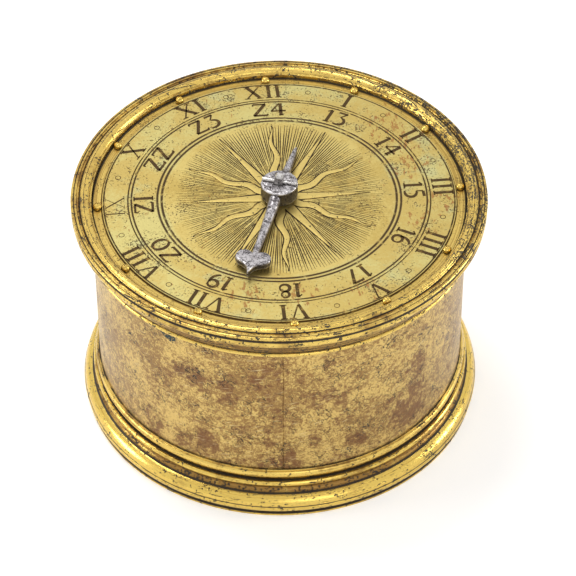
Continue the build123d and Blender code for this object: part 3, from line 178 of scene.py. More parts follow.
def revolve(name: str, runs: list, around: int | Array = 300, step: float = 0.12,
            shift: Callable | None = None) -> bpy.types.Object:
    """Turn a closed profile about the upright axis.

    A point at (radius, height) of the profile goes to (radius cos a, radius sin a, height) for
    each angle a round the turn, and both directions of the grid close on themselves.

    Args:
        name: Name of the piece.
        runs: Parts of the profile, each starting where the one before it ends.
        around: Number of even angles, or the angles themselves.
        step: Longest edge along the profile.
        shift: Function of (angle, radius, height) that returns changed radius and height.

    Returns:
        The piece, with the attributes "tarnish" and "dirt_and_shade", the second holding dirt and painted
        shade, on its vertices.
    """
    lines, states = [], []
    for run, after in zip(runs, runs[1:] + runs[:1]):
        points = np.vstack([run.points, np.asarray(after.points, float)[:1]])
        keep = np.append(True, np.linalg.norm(np.diff(points, axis=0), axis=1) > 1e-6)
        line = resample(points[keep], step)
        lines.append(line)
        states.append(np.tile((run.tarnish, run.dirt_and_shade), (len(line), 1)))
    line, state = np.concatenate(lines), np.concatenate(states)
    area = np.sum(line[:, 0] * np.roll(line[:, 1], -1) - np.roll(line[:, 0], -1) * line[:, 1])
    if area < 0:
        line, state = line[::-1], state[::-1]
    angle = np.arange(around) / around * 2 * pi if isinstance(around, int) else around
    a = angle[:, None] + np.zeros(len(line))
    r, z = line[None, :, 0] + 0 * a, line[None, :, 1] + 0 * a
    if shift is not None:
        r, z = shift(a, r, z)
    points = np.stack([r * np.cos(a), r * np.sin(a), z], 2).reshape(-1, 3)
    piece = link(name, points, grid_faces(len(angle), len(line), True, True))
    for column, layer in enumerate(("tarnish", "dirt_and_shade")):
        store(piece, layer, np.tile(state[:, column], len(angle)))
    return piece


def strips(name: str, paths: list, low: float, high: float, sharp: float = 20.0) -> bpy.types.Object:
    """Closed bars of changing width laid flat along paths, all in one mesh.

    Each point of a path gives two top and two bottom corners, half a width to either side of the
    path's own direction; the ends are capped.

    Args:
        name: Name of the piece.
        paths: Pairs of an (n, 2) array of points and an (n,) array of widths.
        low: Height of the underside.
        high: Height of the top.
        sharp: Edges sharper than this stay sharp, in degrees.

    Returns:
        The piece.
    """
    vertices, faces, base = [], [], 0
    for path, width in paths:
        count = len(path)
        along = np.gradient(path, axis=0)
        along /= np.linalg.norm(along, axis=1)[:, None] + 1e-12
        side = np.stack([-along[:, 1], along[:, 0]], 1) * (np.asarray(width)[:, None] / 2)
        left, right = path + side, path - side
        corners = ((left, low), (right, low), (right, high), (left, high))
        ring = [np.column_stack([edge, np.full(count, height)]) for edge, height in corners]
        vertices.append(np.stack(ring, 1).reshape(-1, 3))
        faces.append(grid_faces(count, 4, False, True)[:, ::-1] + base)
        faces.append(np.array([[0, 1, 2, 3]]) + base)
        faces.append(np.array([[3, 2, 1, 0]]) + base + (count - 1) * 4)
        base += count * 4
    return link(name, np.concatenate(vertices), np.concatenate(faces), sharp)


# Finishes


class Value:
    """A number in a node tree; arithmetic on it adds Math nodes."""

    def __init__(self, nodes: "Nodes", socket: bpy.types.NodeSocket) -> None:
        """Hold a socket and the tree it belongs to."""
        self.nodes, self.socket = nodes, socket

    def __add__(self, other) -> "Value":
        """Sum with a number or a value."""
        return self.nodes.math("ADD", self, other)

    def __sub__(self, other) -> "Value":
        """This less a number or a value."""
        return self.nodes.math("SUBTRACT", self, other)

    def __rsub__(self, other) -> "Value":
        """A number less this."""
        return self.nodes.math("SUBTRACT", other, self)

    def __mul__(self, other) -> "Value":
        """Product with a number or a value."""
        return self.nodes.math("MULTIPLY", self, other)

    def __or__(self, other) -> "Value":
        """The greater of the two."""
        return self.nodes.math("MAXIMUM", self, other)

    def __abs__(self) -> "Value":
        """Without its sign."""
        return self.nodes.math("ABSOLUTE", self)

    def step(self, low: float, high: float, top: float = 1.0) -> "Value":
        """Smooth step from 0 at the low value to the top at the high one, falling if low > high."""
        made = self.nodes.node("ShaderNodeMapRange", self, low, high, 0.0, top,
                               interpolation_type="SMOOTHSTEP")
        return Value(self.nodes, made.outputs["Result"])


class Nodes:
    """Builds one material's node tree with short calls."""

    def __init__(self, name: str) -> None:
        """Start a material of this name with only its output."""
        self.material = bpy.data.materials.new(name)
        self.material.use_nodes = True
        self.tree = self.material.node_tree
        self.tree.nodes.clear()
        self.output = self.tree.nodes.new("ShaderNodeOutputMaterial")
        self.place = self.node("ShaderNodeTexCoord").outputs["Object"]

    def node(self, kind: str, *inputs, **settings) -> bpy.types.Node:
        """Add a node, set its properties and feed its first inputs in order."""
        made = self.tree.nodes.new(kind)
        for key, value in settings.items():
            setattr(made, key, value)
        for socket, value in zip(made.inputs, inputs):
            self.feed(socket, value)
        return made

    def feed(self, socket: bpy.types.NodeSocket, value) -> None:
        """Link a socket to another, or set its own value."""
        value = value.socket if isinstance(value, Value) else value
        if isinstance(value, bpy.types.NodeSocket):
            self.tree.links.new(value, socket)
        else:
            socket.default_value = (*value, 1.0) if socket.type == "RGBA" else value

    def math(self, operation: str, first, second=0.0) -> Value:
        """One arithmetic step; the operation is Blender's name for it."""
        return Value(self, self.node("ShaderNodeMath", first, second, operation=operation).outputs[0])

    def vector_math(self, operation: str, first, second) -> bpy.types.NodeSocket:
        """One step on two vectors; its vector result."""
        return self.node("ShaderNodeVectorMath", first, second, operation=operation).outputs[0]

    def noise(self, scale: float, detail: float = 3.0, rough: float = 0.55, vector=None,
              warp: float = 0.0) -> Value:
        """Cloudy noise, about 0.5 on average; the scale is in features to the metre."""
        made = self.node("ShaderNodeTexNoise", self.place if vector is None else vector)
        wanted = {"Scale": scale, "Detail": detail, "Roughness": rough, "Distortion": warp}
        for name, value in wanted.items():
            made.inputs[name].default_value = value
        return Value(self, made.outputs["Fac"])

    def mix(self, share, first, second) -> bpy.types.NodeSocket:
        """Blend two colours by a share."""
        made = self.node("ShaderNodeMix", share, data_type="RGBA")
        self.feed(made.inputs[6], first)
        self.feed(made.inputs[7], second)
        return made.outputs[2]

    def attribute(self, name: str) -> Value:
        """A number stored on the mesh's vertices."""
        return Value(self, self.node("ShaderNodeAttribute", attribute_name=name).outputs["Fac"])

    def split(self) -> list:
        """X, Y and Z of the place."""
        return [Value(self, socket) for socket in self.node("ShaderNodeSeparateXYZ", self.place).outputs]

    def radius(self) -> Value:
        """Distance from the upright axis."""
        flat = self.vector_math("MULTIPLY", self.place, (1.0, 1.0, 0.0))
        return Value(self, self.node("ShaderNodeVectorMath", flat, operation="LENGTH").outputs["Value"])

    def ringed(self, across: float, along: float) -> bpy.types.NodeSocket:
        """Coordinates that change fast across turned rings and slowly along them."""
        level = self.node("ShaderNodeCombineXYZ", self.radius() * across, self.split()[2] * across)
        around = self.vector_math("MULTIPLY", self.place, (along,) * 3)
        return self.vector_math("ADD", level.outputs[0], around)

    def unrolled(self, turn: float, long: float, thin: float) -> bpy.types.NodeSocket:
        """Coordinates on the unrolled drum, stretched along a direction turned from the level."""
        x, y, z = self.split()
        along = self.math("ARCTAN2", x, y * -1.0) * (Case.body_radius * MM)
        flat = self.node("ShaderNodeCombineXYZ", along, z)
        made = self.node("ShaderNodeVectorRotate", flat.outputs[0], rotation_type="Z_AXIS")
        made.inputs["Angle"].default_value = turn
        return self.vector_math("MULTIPLY", made.outputs[0], (long, thin, 1.0))

    def threads(self, scale: float, width: float, vector=None) -> Value:
        """Thin curling lines, where cloudy noise passes its middle level."""
        return abs(self.noise(scale, 2.0, 0.5, vector) - 0.5).step(width, width * 0.3)

    def ring_line(self, radius: float, half: float) -> Value:
        """One on a circle about the axis, zero beyond half its width; both in millimetres."""
        return abs(self.radius() - radius * MM).step(half * MM, half * 0.45 * MM)

    def near(self, spot: tuple, reach: float) -> Value:
        """One at a spot in millimetres, falling to zero at a distance."""
        target = tuple(value * MM for value in spot)
        made = self.node("ShaderNodeVectorMath", self.place, target, operation="DISTANCE")
        return Value(self, made.outputs["Value"]).step(reach * MM, reach * 0.25 * MM)

    def nearest(self, spots: tuple) -> Value:
        """The greatest of near() over pairs of spot and distance."""
        return reduce(operator.or_, [self.near(spot, reach) for spot, reach in spots])

    def finish(self, colour, rough, height, depth: float, metallic,
               gloss: float = 0.5) -> bpy.types.Material:
        """Close the tree with one shader.

        Args:
            colour: Base colour.
            rough: Roughness.
            height: Height map that bends the normal.
            depth: Height of one unit of the map, in millimetres.
            metallic: Share of metal.
            gloss: Specular level of what isn't metal.

        Returns:
            The material.
        """
        bump = self.node("ShaderNodeBump")
        shader = self.node("ShaderNodeBsdfPrincipled")
        wanted = {bump: {"Strength": 1.0, "Distance": depth * MM, "Height": height},
                  shader: {"Base Color": colour, "Roughness": rough, "Metallic": metallic,
                           "Specular IOR Level": gloss, "Normal": bump.outputs[0]}}
        for made, inputs in wanted.items():
            for name, value in inputs.items():
                self.feed(made.inputs[name], value)
        self.tree.links.new(shader.outputs[0], self.output.inputs["Surface"])
        return self.material


@dataclass(frozen=True)
class GiltBrass:
    """Worn fire gilding on turned brass: tool marks, brown tarnish, black pits, and dirt with painted shade
    in grooves, gaps and undersides.
    """

    name: str
    bright: tuple = (0.74, 0.52, 0.13)
    brown: tuple = (0.27, 0.15, 0.04)
    dirt_and_shade: tuple = (0.028, 0.022, 0.016)
    pits: float = 0.5
    right_side_darkening: float = 0.0
    right_side_span: tuple = (0.015, 0.031)
    dashes: float = 0.0
    rough: float = 0.26
    metallic: float = 0.92

    def material(self) -> bpy.types.Material:
        """Build the node material."""
        n = Nodes(self.name)
        tarnish, groove = n.attribute("tarnish"), n.attribute("dirt_and_shade")
        rings = n.noise(1.0, 4, 0.7, n.ringed(5600, 90))
        mottle = n.noise(190, 6, 0.68, warp=0.5) * 0.5 + rings * 0.3 + n.noise(1500, 4, 0.7) * 0.2
        share = (mottle + tarnish * 0.22).step(0.53, 0.70)
        x, y, _ = n.split()
        # More dark specks and dashes towards the right side of the piece.
        side = (x + y * 0.25).step(*self.right_side_span, self.right_side_darkening)
        patch = n.noise(420, 4, 0.7, warp=1.0)
        edge = 0.515 - 0.03 * self.pits
        specks = n.noise(2300, 3, 0.6) * 0.5 + patch * 0.36 + side * 0.035 + tarnish * 0.035
        level = 0.66 - 0.045 * self.dashes
        dashes = (n.noise(1.0, 4, 0.65, n.ringed(3000, 520)) + side * 0.07).step(level, level + 0.03)
        # Dirt and painted shade in grooves, gaps and undersides, from each run's dark fill, broken up by
        # noise.
        hollow_dirt_and_shade = (groove + patch * 1.1).step(0.95, 1.2)
        dark = specks.step(edge, edge + 0.03) | hollow_dirt_and_shade | dashes
        colour = n.mix(dark * 0.93, n.mix(share, self.bright, self.brown), self.dirt_and_shade)
        rough = share * 0.2 + dark * 0.3 + self.rough
        return n.finish(colour, rough, mottle * 0.9 - dark * 0.7, 0.09, self.metallic - dark * 0.7)


@dataclass(frozen=True)
class DrumBrass:
    """Rubbed gilding of the drum: ochre with violet-brown patina, curling scratches and a green spot."""

    name: str = "drum_brass"
    gold: tuple = (0.645, 0.455, 0.15)
    ochre: tuple = (0.29, 0.168, 0.058)
    violet: tuple = (0.17, 0.072, 0.036)
    dirt_and_shade: tuple = (0.035, 0.028, 0.022)
    verdigris: tuple = (0.02, 0.038, 0.036)
    shine: tuple = (0.72, 0.58, 0.30)
    main_blot: tuple = ((19.0, -23.2, 14.8), 7.5)
    blots: tuple = (((4.6, -29.6, 22.9), 5.5), ((-7.0, -29.2, 28.5), 5.0), ((-16.5, -25.0, 26.5), 5.0),
                    ((20.4, -22.0, 21.8), 5.0), ((-11.1, -27.9, 24.5), 5.0), ((-13.4, -26.8, 13.2), 3.0),
                    ((-1.8, -29.9, 11.3), 4.0), ((10.2, -28.2, 12.3), 3.0))
    specks: tuple = (((-23.0, -19.3, 14.7), 5.0), ((13.1, -27.0, 24.3), 4.0), ((9.4, -28.5, 16.8), 4.0))
    violet_height: tuple = (0.016, 0.008)
    green_spots: tuple = (((-18.75, -23.4, 32.9), 2.1), ((-20.0, -22.4, 33.6), 1.7))

    def material(self) -> bpy.types.Material:
        """Build the node material."""
        n = Nodes(self.name)
        fine = n.noise(1000, 6, 0.75, warp=0.9)
        broad = (n.noise(85, 4, 0.6, warp=0.6) - 0.5) * 0.25
        tone = n.noise(2600, 5, 0.75, warp=0.6) * 0.5 + fine * 0.5 + broad
        colour = n.mix(tone.step(0.45, 0.56), self.ochre, self.gold)
        blot = n.noise(210, 5, 0.65, warp=0.4) * 0.52 + n.noise(1300, 5, 0.8) * 0.48
        blot = blot + (n.near(*self.main_blot) | n.nearest(self.blots) * 0.75) * 0.095
        violet = (blot + n.split()[2].step(*self.violet_height, 0.035)).step(0.545, 0.60, 0.8)
        colour = n.mix(violet, colour, self.violet)
        curls = n.threads(330, 0.010) | n.threads(520, 0.010, n.unrolled(0.7, 0.6, 1.5))
        straight, crossed, rubbed = (n.noise(1.0, 2, 0.5, n.unrolled(*way)) for way in (
            (0.55, 240.0, 5200.0), (-0.8, 260.0, 4800.0), (-0.25, 300.0, 4200.0)))
        marks = curls * 0.85 | (straight | crossed).step(0.66, 0.72) * 0.75
        marks = marks * n.noise(240, 3, 0.6).step(0.36, 0.60)
        colour = n.mix(marks, colour, self.dirt_and_shade)
        colour = n.mix(rubbed.step(0.63, 0.72, 0.55), colour, self.shine)
        pits = n.noise(3000, 3, 0.6) * 0.5 + n.noise(240, 4, 0.7) * 0.34 + n.nearest(self.specks) * 0.035
        pits = pits.step(0.505, 0.53)
        colour = n.mix(pits, colour, self.dirt_and_shade)
        first, second = (n.near(*spot) for spot in self.green_spots)
        spot = n.math("MINIMUM", first + second, 1.0)
        green = (spot * 0.32 + n.noise(1900, 4, 0.7) * 0.7).step(0.60, 0.655)
        colour = n.mix(green, colour, self.verdigris)
        dark = pits | green
        rough = violet * 0.10 + fine * 0.2 + dark * 0.3 + 0.27
        return n.finish(colour, rough, tone * 0.8 + marks * -0.6 - pits * 0.7, 0.05, 0.9 - dark * 0.75)


@dataclass(frozen=True)
class DialBrass:
    """Pale gilding of the dial: scribed circles, fine pits, a gold gutter and rusty stains."""

    name: str = "dial_brass"
    pale: tuple = (0.58, 0.50, 0.19)
    gold: tuple = (0.54, 0.40, 0.12)
    green: tuple = (0.52, 0.53, 0.27)
    sun_dark: tuple = (0.50, 0.36, 0.10)
    sun_light: tuple = (0.62, 0.47, 0.15)
    gutter_dark: tuple = (0.40, 0.26, 0.065)
    gutter_light: tuple = (0.66, 0.48, 0.13)
    stain: tuple = (0.36, 0.15, 0.04)
    dirt_and_shade: tuple = (0.085, 0.05, 0.02)
    black: tuple = (0.03, 0.022, 0.014)
    scribed: tuple = ((18.72, 0.27), (19.42, 0.25), (23.55, 0.19), (24.1, 0.13), (27.95, 0.16), (28.3, 0.1))
    gutter: tuple = (28.22, 29.5)
    face: float = 39.6
    sun_edge: tuple = (0.0186, 0.0178)
    speck_edge: tuple = (0.0194, 0.0200)
    stains: tuple = (((18.6, 16.5), 6.0), ((22.0, 12.5), 6.0), ((21.0, 6.0), 5.0), ((25.5, -3.0), 5.0),
                     ((22.5, -8.0), 5.0), ((-7.5, -22.5), 5.5), ((2.0, -22.0), 4.5), ((11.0, -22.5), 4.5))

    def material(self) -> bpy.types.Material:
        """Build the node material."""
        n = Nodes(self.name)
        radius = n.radius()
        broad, grain = n.noise(80, 5, 0.65, warp=0.5), n.noise(2400, 4, 0.7)
        tone = broad * 0.7 + grain * 0.3
        cloud = tone.step(0.42, 0.58)
        colour = n.mix(cloud, self.gold, self.pale)
        colour = n.mix(n.noise(130, 4, 0.65).step(0.53, 0.68, 0.6), colour, self.green)
        sun = n.mix(cloud, self.sun_dark, self.sun_light)
        colour = n.mix(radius.step(*self.sun_edge, 0.75), colour, sun)
        low, high = self.gutter
        rings = n.noise(1.0, 3, 0.6, n.ringed(7000, 60)).step(0.40, 0.60)
        gutter = radius.step((low - 0.05) * MM, (low + 0.05) * MM)
        colour = n.mix(gutter, colour, n.mix(rings, self.gutter_dark, self.gutter_light))
        outer = radius.step(*self.speck_edge, 0.012)
        specks = n.noise(3000, 3, 0.65) * 0.55 + n.noise(260, 4, 0.65) * 0.32 + outer
        pits = specks.step(0.50, 0.535, 0.8)
        colour = n.mix(pits, colour, self.dirt_and_shade)
        runs = n.noise(1.0, 4, 0.65, n.vector_math("MULTIPLY", n.place, (1500.0, 620.0, 900.0)))
        area = n.nearest(tuple(((*spot, self.face), reach) for spot, reach in self.stains))
        rust = (runs * 0.9 + area * 0.10).step(0.59, 0.64, 0.75)
        colour = n.mix(rust, colour, self.stain)
        cut = reduce(operator.or_, [n.ring_line(*line) for line in self.scribed])
        cut = cut * n.noise(500, 4, 0.7).step(0.28, 0.46, 0.97)
        colour = n.mix(cut, colour, self.dirt_and_shade)
        shade = (radius + n.noise(300) * 0.0002).step((high + 0.12) * MM, (high + 0.24) * MM)
        colour = n.mix(shade * 0.95, colour, self.black)
        colour = n.mix(n.threads(260, 0.006) * broad.step(0.5, 0.6, 0.35), colour, self.dirt_and_shade)
        dark = pits | rust | cut | shade
        rough = grain * 0.22 + dark * 0.25 + 0.27
        return n.finish(colour, rough, tone * 0.8 - dark * 0.6, 0.06, 0.85 - dark * 0.55, 0.25)


@dataclass(frozen=True)
class EngravingWax:
    """Dark brown wax left in the cut lines, worn thin in places so that brass shows; towards the left and
    right of the dial more brass shows as a painted sheen.
    """

    name: str = "engraving_wax"
    wax: tuple = (0.082, 0.047, 0.015)
    brass: tuple = (0.30, 0.19, 0.05)
    worn: float = 0.5
    sides_sheen: float = 0.0

    def material(self) -> bpy.types.Material:
        """Build the node material."""
        n = Nodes(self.name)
        x, y, _ = n.split()
        # Painted sheen: the cut lines at the left and right of the dial turn paler.
        side_sheen = (abs(x) - abs(y)).step(-0.003, 0.006, 0.13 * self.sides_sheen)
        level = 0.57 - 0.07 * self.worn
        wear_and_sheen = (n.noise(600, 4, 0.65) * 0.8 + 0.1 + side_sheen).step(level, level + 0.11, 0.85)
        colour = n.mix(wear_and_sheen, self.wax, self.brass)
        return n.finish(colour, n.noise(900) * 0.2 + 0.42, n.noise(1800), 0.03, wear_and_sheen * 0.85, 0.12)


@dataclass(frozen=True)
class Iron:
    """Filed or forged iron: grey with dark pits; rubbed edges are light, and corners and upright sides carry
    painted shade.
    """

    name: str
    light: tuple = (0.36, 0.345, 0.34)
    dark: tuple = (0.10, 0.092, 0.088)
    edge: tuple = (0.72, 0.70, 0.69)
    corner: tuple = (0.03, 0.026, 0.025)
    pit: tuple = (0.035, 0.03, 0.03)
    rough: float = 0.42
    pits: float = 0.5
    file_marks: float = 0.0

    def material(self) -> bpy.types.Material:
        """Build the node material."""
        n = Nodes(self.name)
        cloud, grain = n.noise(700, 5, 0.68, warp=0.4), n.noise(3200, 4, 0.7)
        tone = cloud * 0.6 + grain * 0.4
        colour = n.mix(tone.step(0.40, 0.56), self.dark, self.light)
        rub_and_shade = n.attribute("rub_and_shade")
        colour = n.mix((rub_and_shade + cloud * 0.3).step(0.3, 0.9, 0.8), colour, self.edge)
        # Painted shade: corners and upright sides, where the stored number is low, are darkened.
        colour = n.mix((grain * 0.2 - rub_and_shade).step(0.25, 0.6, 0.8), colour, self.corner)
        level = 0.37 + 0.05 * self.pits
        pits = (n.noise(3600, 3, 0.65) * 0.6 + cloud * 0.22).step(level, level - 0.04)
        colour = n.mix(pits * 0.8, colour, self.pit)
        marks = n.noise(1.0, 2, 0.5, n.vector_math("MULTIPLY", n.place, (300.0, 6000.0, 300.0)))
        height = tone * 0.8 - pits * 0.6 + marks * self.file_marks
        return n.finish(colour, grain * 0.2 + (self.rough - 0.08) + pits * 0.2, height, 0.035, 0.95)


class Finish(Enum):
    """The clock's finishes by the piece they are made for."""

    BEZEL = GiltBrass("bezel_gilding", pits=0.8, right_side_darkening=1.0, dashes=1.0, rough=0.22)
    CORNICE = GiltBrass("cornice_gilding", pits=0.8, dashes=0.8, rough=0.26)
    BASE = GiltBrass("base_gilding", pits=0.6, dashes=0.5, rough=0.18, bright=(0.74, 0.52, 0.12))
    BEAD = GiltBrass("bead_gilding", pits=0.5, rough=0.27)
    PIN = GiltBrass("pin_gilding", pits=0.1, rough=0.22, bright=(0.68, 0.47, 0.11))
    RAY = GiltBrass("ray_gilding", pits=0.1, rough=0.4, bright=(0.58, 0.44, 0.14), brown=(0.44, 0.31, 0.09))
    INNER_BRASS = GiltBrass("inner_brass", pits=0.2, rough=0.36, bright=(0.58, 0.42, 0.18),
                            brown=(0.38, 0.25, 0.09))
    DRUM = DrumBrass()
    DIAL = DialBrass()
    NUMERAL = EngravingWax("numeral_wax", worn=0.35)
    HATCH = EngravingWax("hatch_wax", wax=(0.045, 0.027, 0.010), brass=(0.34, 0.225, 0.06), worn=0.15,
                         sides_sheen=0.7)
    HAND = Iron("hand_iron", light=(0.50, 0.475, 0.48), dark=(0.15, 0.135, 0.14), rough=0.34, pits=0.5)
    ARBOR = Iron("arbor_iron", light=(0.62, 0.60, 0.58), dark=(0.42, 0.40, 0.39), rough=0.3, pits=0.0)
    MOVEMENT = Iron("movement_iron", light=(0.30, 0.29, 0.285), dark=(0.13, 0.12, 0.115), rough=0.4,
                    pits=0.3, file_marks=0.5)
    SPRING = Iron("spring_iron", light=(0.26, 0.27, 0.30), dark=(0.12, 0.125, 0.15), rough=0.3, pits=0.2)


MADE: dict = {}


def paint(piece: bpy.types.Object, finish: Finish) -> None:
    """Give a piece one finish, whose material is made once."""
    if finish not in MADE:
        MADE[finish] = finish.value.material()
    piece.data.materials.clear()
    piece.data.materials.append(MADE[finish])


def dress(piece: bpy.types.Object, finish: Finish, slot: str, body: str, *nodes: str) -> bpy.types.Object:
    """Give a piece its finish, its body and the nodes it stands for.

    Args:
        piece: The finished object.
        finish: Which finish it wears.
        slot: The record's material slot; not used.
        body: The body it moves with.
        nodes: CAD nodes that it replaces.

    Returns:
        The same piece.
    """
    paint(piece, finish)
    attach(piece, body)
    if nodes:
        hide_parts(*nodes)
    LOG.info("%s: %d vertices on %s", piece.name, len(piece.data.vertices), body)
    return piece


@dataclass
class Case:
    """The drum: band, cornice, foot bead, bezel and the hinged base's moulding."""

    body_radius: float = 30.0
    wall: float = 1.2
    band_foot: float = 6.5
    band_top: float = 36.9
    rim_radius: float = 33.2
    rim_foot: float = 35.0
    rim_top: float = 39.9
    ledge: float = 37.3
    rebate: float = 31.3
    foot_radius: float = 32.6
    seam_angle: float = radians(-93.5)
    hinge: tuple = (31.9, 6.6)
    hinge_room: float = 1.5
    hinge_half: float = 7.95

    def wobble(self, a: Array, r: Array, z: Array, size: float) -> tuple:
        """Uneven turning: the radius shrinks by a few slow waves round the ring."""
        wave = np.sin(3 * a + 0.6) + 0.6 * np.sin(7 * a + 2.1) + 0.4 * np.sin(13 * a + z)
        return r - size * (2.0 + wave) / 4.0, z + size * 0.3 * np.sin(5 * a + 1.3)

    def band(self) -> bpy.types.Object:
        """Drum wall with its soldered seam, a narrow notch at one angle."""
        inner, outer = self.body_radius - self.wall, self.body_radius
        corners = [(inner, self.band_foot), (outer, self.band_foot), (outer, self.band_top),
                   (inner, self.band_top)]

        def notch(a: Array, r: Array, z: Array) -> tuple:
            """Sink the outer face at the seam, sharply in its line and softly beside it."""
            away = (a - self.seam_angle + pi) % (2 * pi) - pi
            bent = away * outer - 0.05 * np.sin(z * 0.5)
            depth = 0.1 * np.exp(-((bent / 0.07) ** 2)) + 0.03 * np.exp(-((bent / 0.5) ** 2))
            return r - depth * (r > outer - 0.1), z

        even = np.linspace(0, 2 * pi, 360, endpoint=False)
        fine = (self.seam_angle + np.linspace(-0.02, 0.02, 33)) % (2 * pi)
        angle = np.unique(np.round(np.concatenate([even, fine]), 6))
        piece = revolve("drum_wall", [Run(corners)], angle, 0.6, notch)
        return dress(piece, Finish.DRUM, "brass_drum", "case", "drum_band")

    def grooved(self, line: Array, shares: tuple, tarnish: float) -> list:
        """Split a line into runs with V grooves cut square to it, darkened with dirt and painted shade.

        Args:
            line: Points of the line.
            shares: (share of the length, depth, half width, dirt and painted shade) of each groove, in
                order.
            tarnish: Tarnish of the whole line.

        Returns:
            The runs between the grooves and along their walls.
        """
        length, clear = distances(line), 0.02

        def at(place: float | Array) -> Array:
            """Points of the line at distances from its start."""
            return np.stack([np.interp(place, length, column) for column in line.T], -1)

        runs, start = [], 0.0
        for share, depth, half, dirt_and_shade in shares:
            middle = share * length[-1]
            stops = np.array([middle - half, middle, middle + half])
            walls = at(stops)
            along = walls[2] - walls[0]
            walls[1] += depth * np.array([-along[1], along[0]]) / np.linalg.norm(along)
            inside = (length > start + clear) & (length < stops[0] - clear)
            runs += [Run(np.vstack([at(start), line[inside]]), tarnish), Run(walls[:2], tarnish, dirt_and_shade),
                     Run(walls[1:2], tarnish, dirt_and_shade)]
            start = stops[2]
        return runs + [Run(np.vstack([at(start), line[length > start + clear]]), tarnish)]

    def cornice(self) -> bpy.types.Object:
        """Moulding under the bezel: a bead, a neck, a slanting face with tool rings, a fillet."""
        inner = self.body_radius + 0.02
        bead = self.body_radius + 1.25
        foot, top, rim = self.rim_foot, self.rim_top, self.rim_radius
        neck = (bead + 0.1, foot + 0.95)
        swell = (rim - 0.4, top - 1.35)
        middle = ((neck[0] + swell[0]) / 2 + 0.12, (neck[1] + swell[1]) / 2 - 0.04)
        rings = ((0.14, 0.08, 0.07, 0.55), (0.33, 0.05, 0.05, 0.35), (0.5, 0.09, 0.08, 0.6),
                 (0.66, 0.04, 0.05, 0.3), (0.84, 0.06, 0.06, 0.5))
        roll = arc((rim - 0.15, swell[1] + 0.1), (rim - 0.02, (swell[1] + top) / 2),
                   (rim - 0.15, top - 0.25), 8)
        # The dark fill of the runs is dirt with painted shade: full in the joint under the bezel's edge,
        # strong on the underside and under the bead, partial in the tool rings.
        runs = [Run([(inner, foot), (bead - 0.12, foot)], 0.6, 0.8),
                Run(arc((bead - 0.12, foot), (bead + 0.34, foot + 0.36), (bead, foot + 0.75), 12), 0.15),
                Run([(bead, foot + 0.75), (bead - 0.08, foot + 0.84)], 0.5, 0.9)]
        runs += self.grooved(arc(neck, middle, swell, 26), rings, 0.75)
        runs += [Run([swell, (rim - 0.15, swell[1] + 0.1)], 0.6, 0.75),
                 Run(roll, 0.35),
                 Run([(rim - 0.15, top - 0.25), (rim - 0.35, top)], 0.9, 1.0),
                 Run([(rim - 0.35, top), (self.rebate, top), (self.rebate, self.ledge),
                      (self.body_radius - self.wall, self.ledge),
                      (self.body_radius - self.wall, self.band_top), (inner, self.band_top)], 0.6)]
        piece = revolve("rim_cornice", runs, 320, 0.14,
                        lambda a, r, z: self.wobble(a, r, z, 0.05 * (r > 30.5)))
        return dress(piece, Finish.CORNICE, "gilt_brass", "case", "rim_moulding")

    def bead(self) -> bpy.types.Object:
        """Half-round ring at the foot of the drum with a fine step above it."""
        inner, foot = self.body_radius + 0.02, 6.75
        # The dark fill of the runs is dirt with painted shade: full on the underside, partial above the bead
        # and on the top face.
        runs = [Run([(inner, foot), (30.4, foot)], 0.8, 1.0),
                Run(arc((30.4, foot), (30.7, foot + 0.72), (30.45, foot + 1.3), 14), 0.2),
                Run([(30.45, foot + 1.3), (30.3, foot + 1.36)], 0.5, 0.4),
                Run([(30.3, foot + 1.36), (30.3, foot + 1.6), (30.2, foot + 1.65)], 0.35),
                Run([(30.2, foot + 1.65), (inner, foot + 1.65)], 0.6, 0.6)]
        piece = revolve("foot_ring", runs, 320, 0.1)
        return dress(piece, Finish.BEAD, "gilt_brass", "case", "foot_bead")

    def base(self) -> bpy.types.Object:
        """Base moulding: foot, groove, bead and bright torus, a rough cavetto and a thin top rim."""
        foot = self.foot_radius
        fillet = foot - 1.45
        floor = 27.6
        torus = arc((foot + 0.15, 2.35), (foot - 0.3, 3.35), (foot - 1.2, 3.9), 18)
        # The dark fill of the runs is dirt with painted shade: full in the foot groove and in the gap under
        # the drum's bead, partial in the other hollows.
        runs = [
            Run([(floor, 0), (foot - 0.25, 0)], 0.7),
            Run([(foot - 0.25, 0), (foot, 0.2), (foot, 0.6)], 0.35),
            Run([(foot, 0.6), (foot - 0.35, 0.78), (foot - 0.35, 1.08), (foot + 0.05, 1.22)], 0.8, 1.0),
            Run(arc((foot + 0.05, 1.22), (foot + 0.3, 1.75), (foot + 0.18, 2.25), 10), 0.2),
            Run([(foot + 0.18, 2.25), (foot + 0.08, 2.32)], 0.5, 0.75),
        ]
        runs += self.grooved(torus, ((0.72, 0.03, 0.04, 0.35),), 0.06)
        runs += [
            Run([(foot - 1.2, 3.9), (fillet, 3.98), (fillet, 4.15)], 0.7, 0.8),
            Run(arc((fillet, 4.15), (fillet - 0.45, 4.75), (fillet - 0.25, 5.3), 12), 0.9, 0.14),
            Run([(fillet - 0.25, 5.3), (fillet - 0.1, 5.4)], 0.6, 0.7),
            Run(arc((fillet - 0.1, 5.4), (fillet, 5.8), (fillet - 0.3, 6.2), 8), 0.3),
            Run([(fillet - 0.3, 6.2), (30.55, 6.2)], 0.45, 0.2),
            Run([(30.55, 6.2), (30.0, 6.2)], 0.9, 1.0),
            Run([(30.0, 6.2), (30.0, 6.5), (28.5, 6.5), (28.5, 8.2), (floor, 8.2), (floor, 3.1),
                 (floor - 1, 3.1), (floor - 1, 2.6), (floor, 2.6)], 0.6, 0.1),
        ]

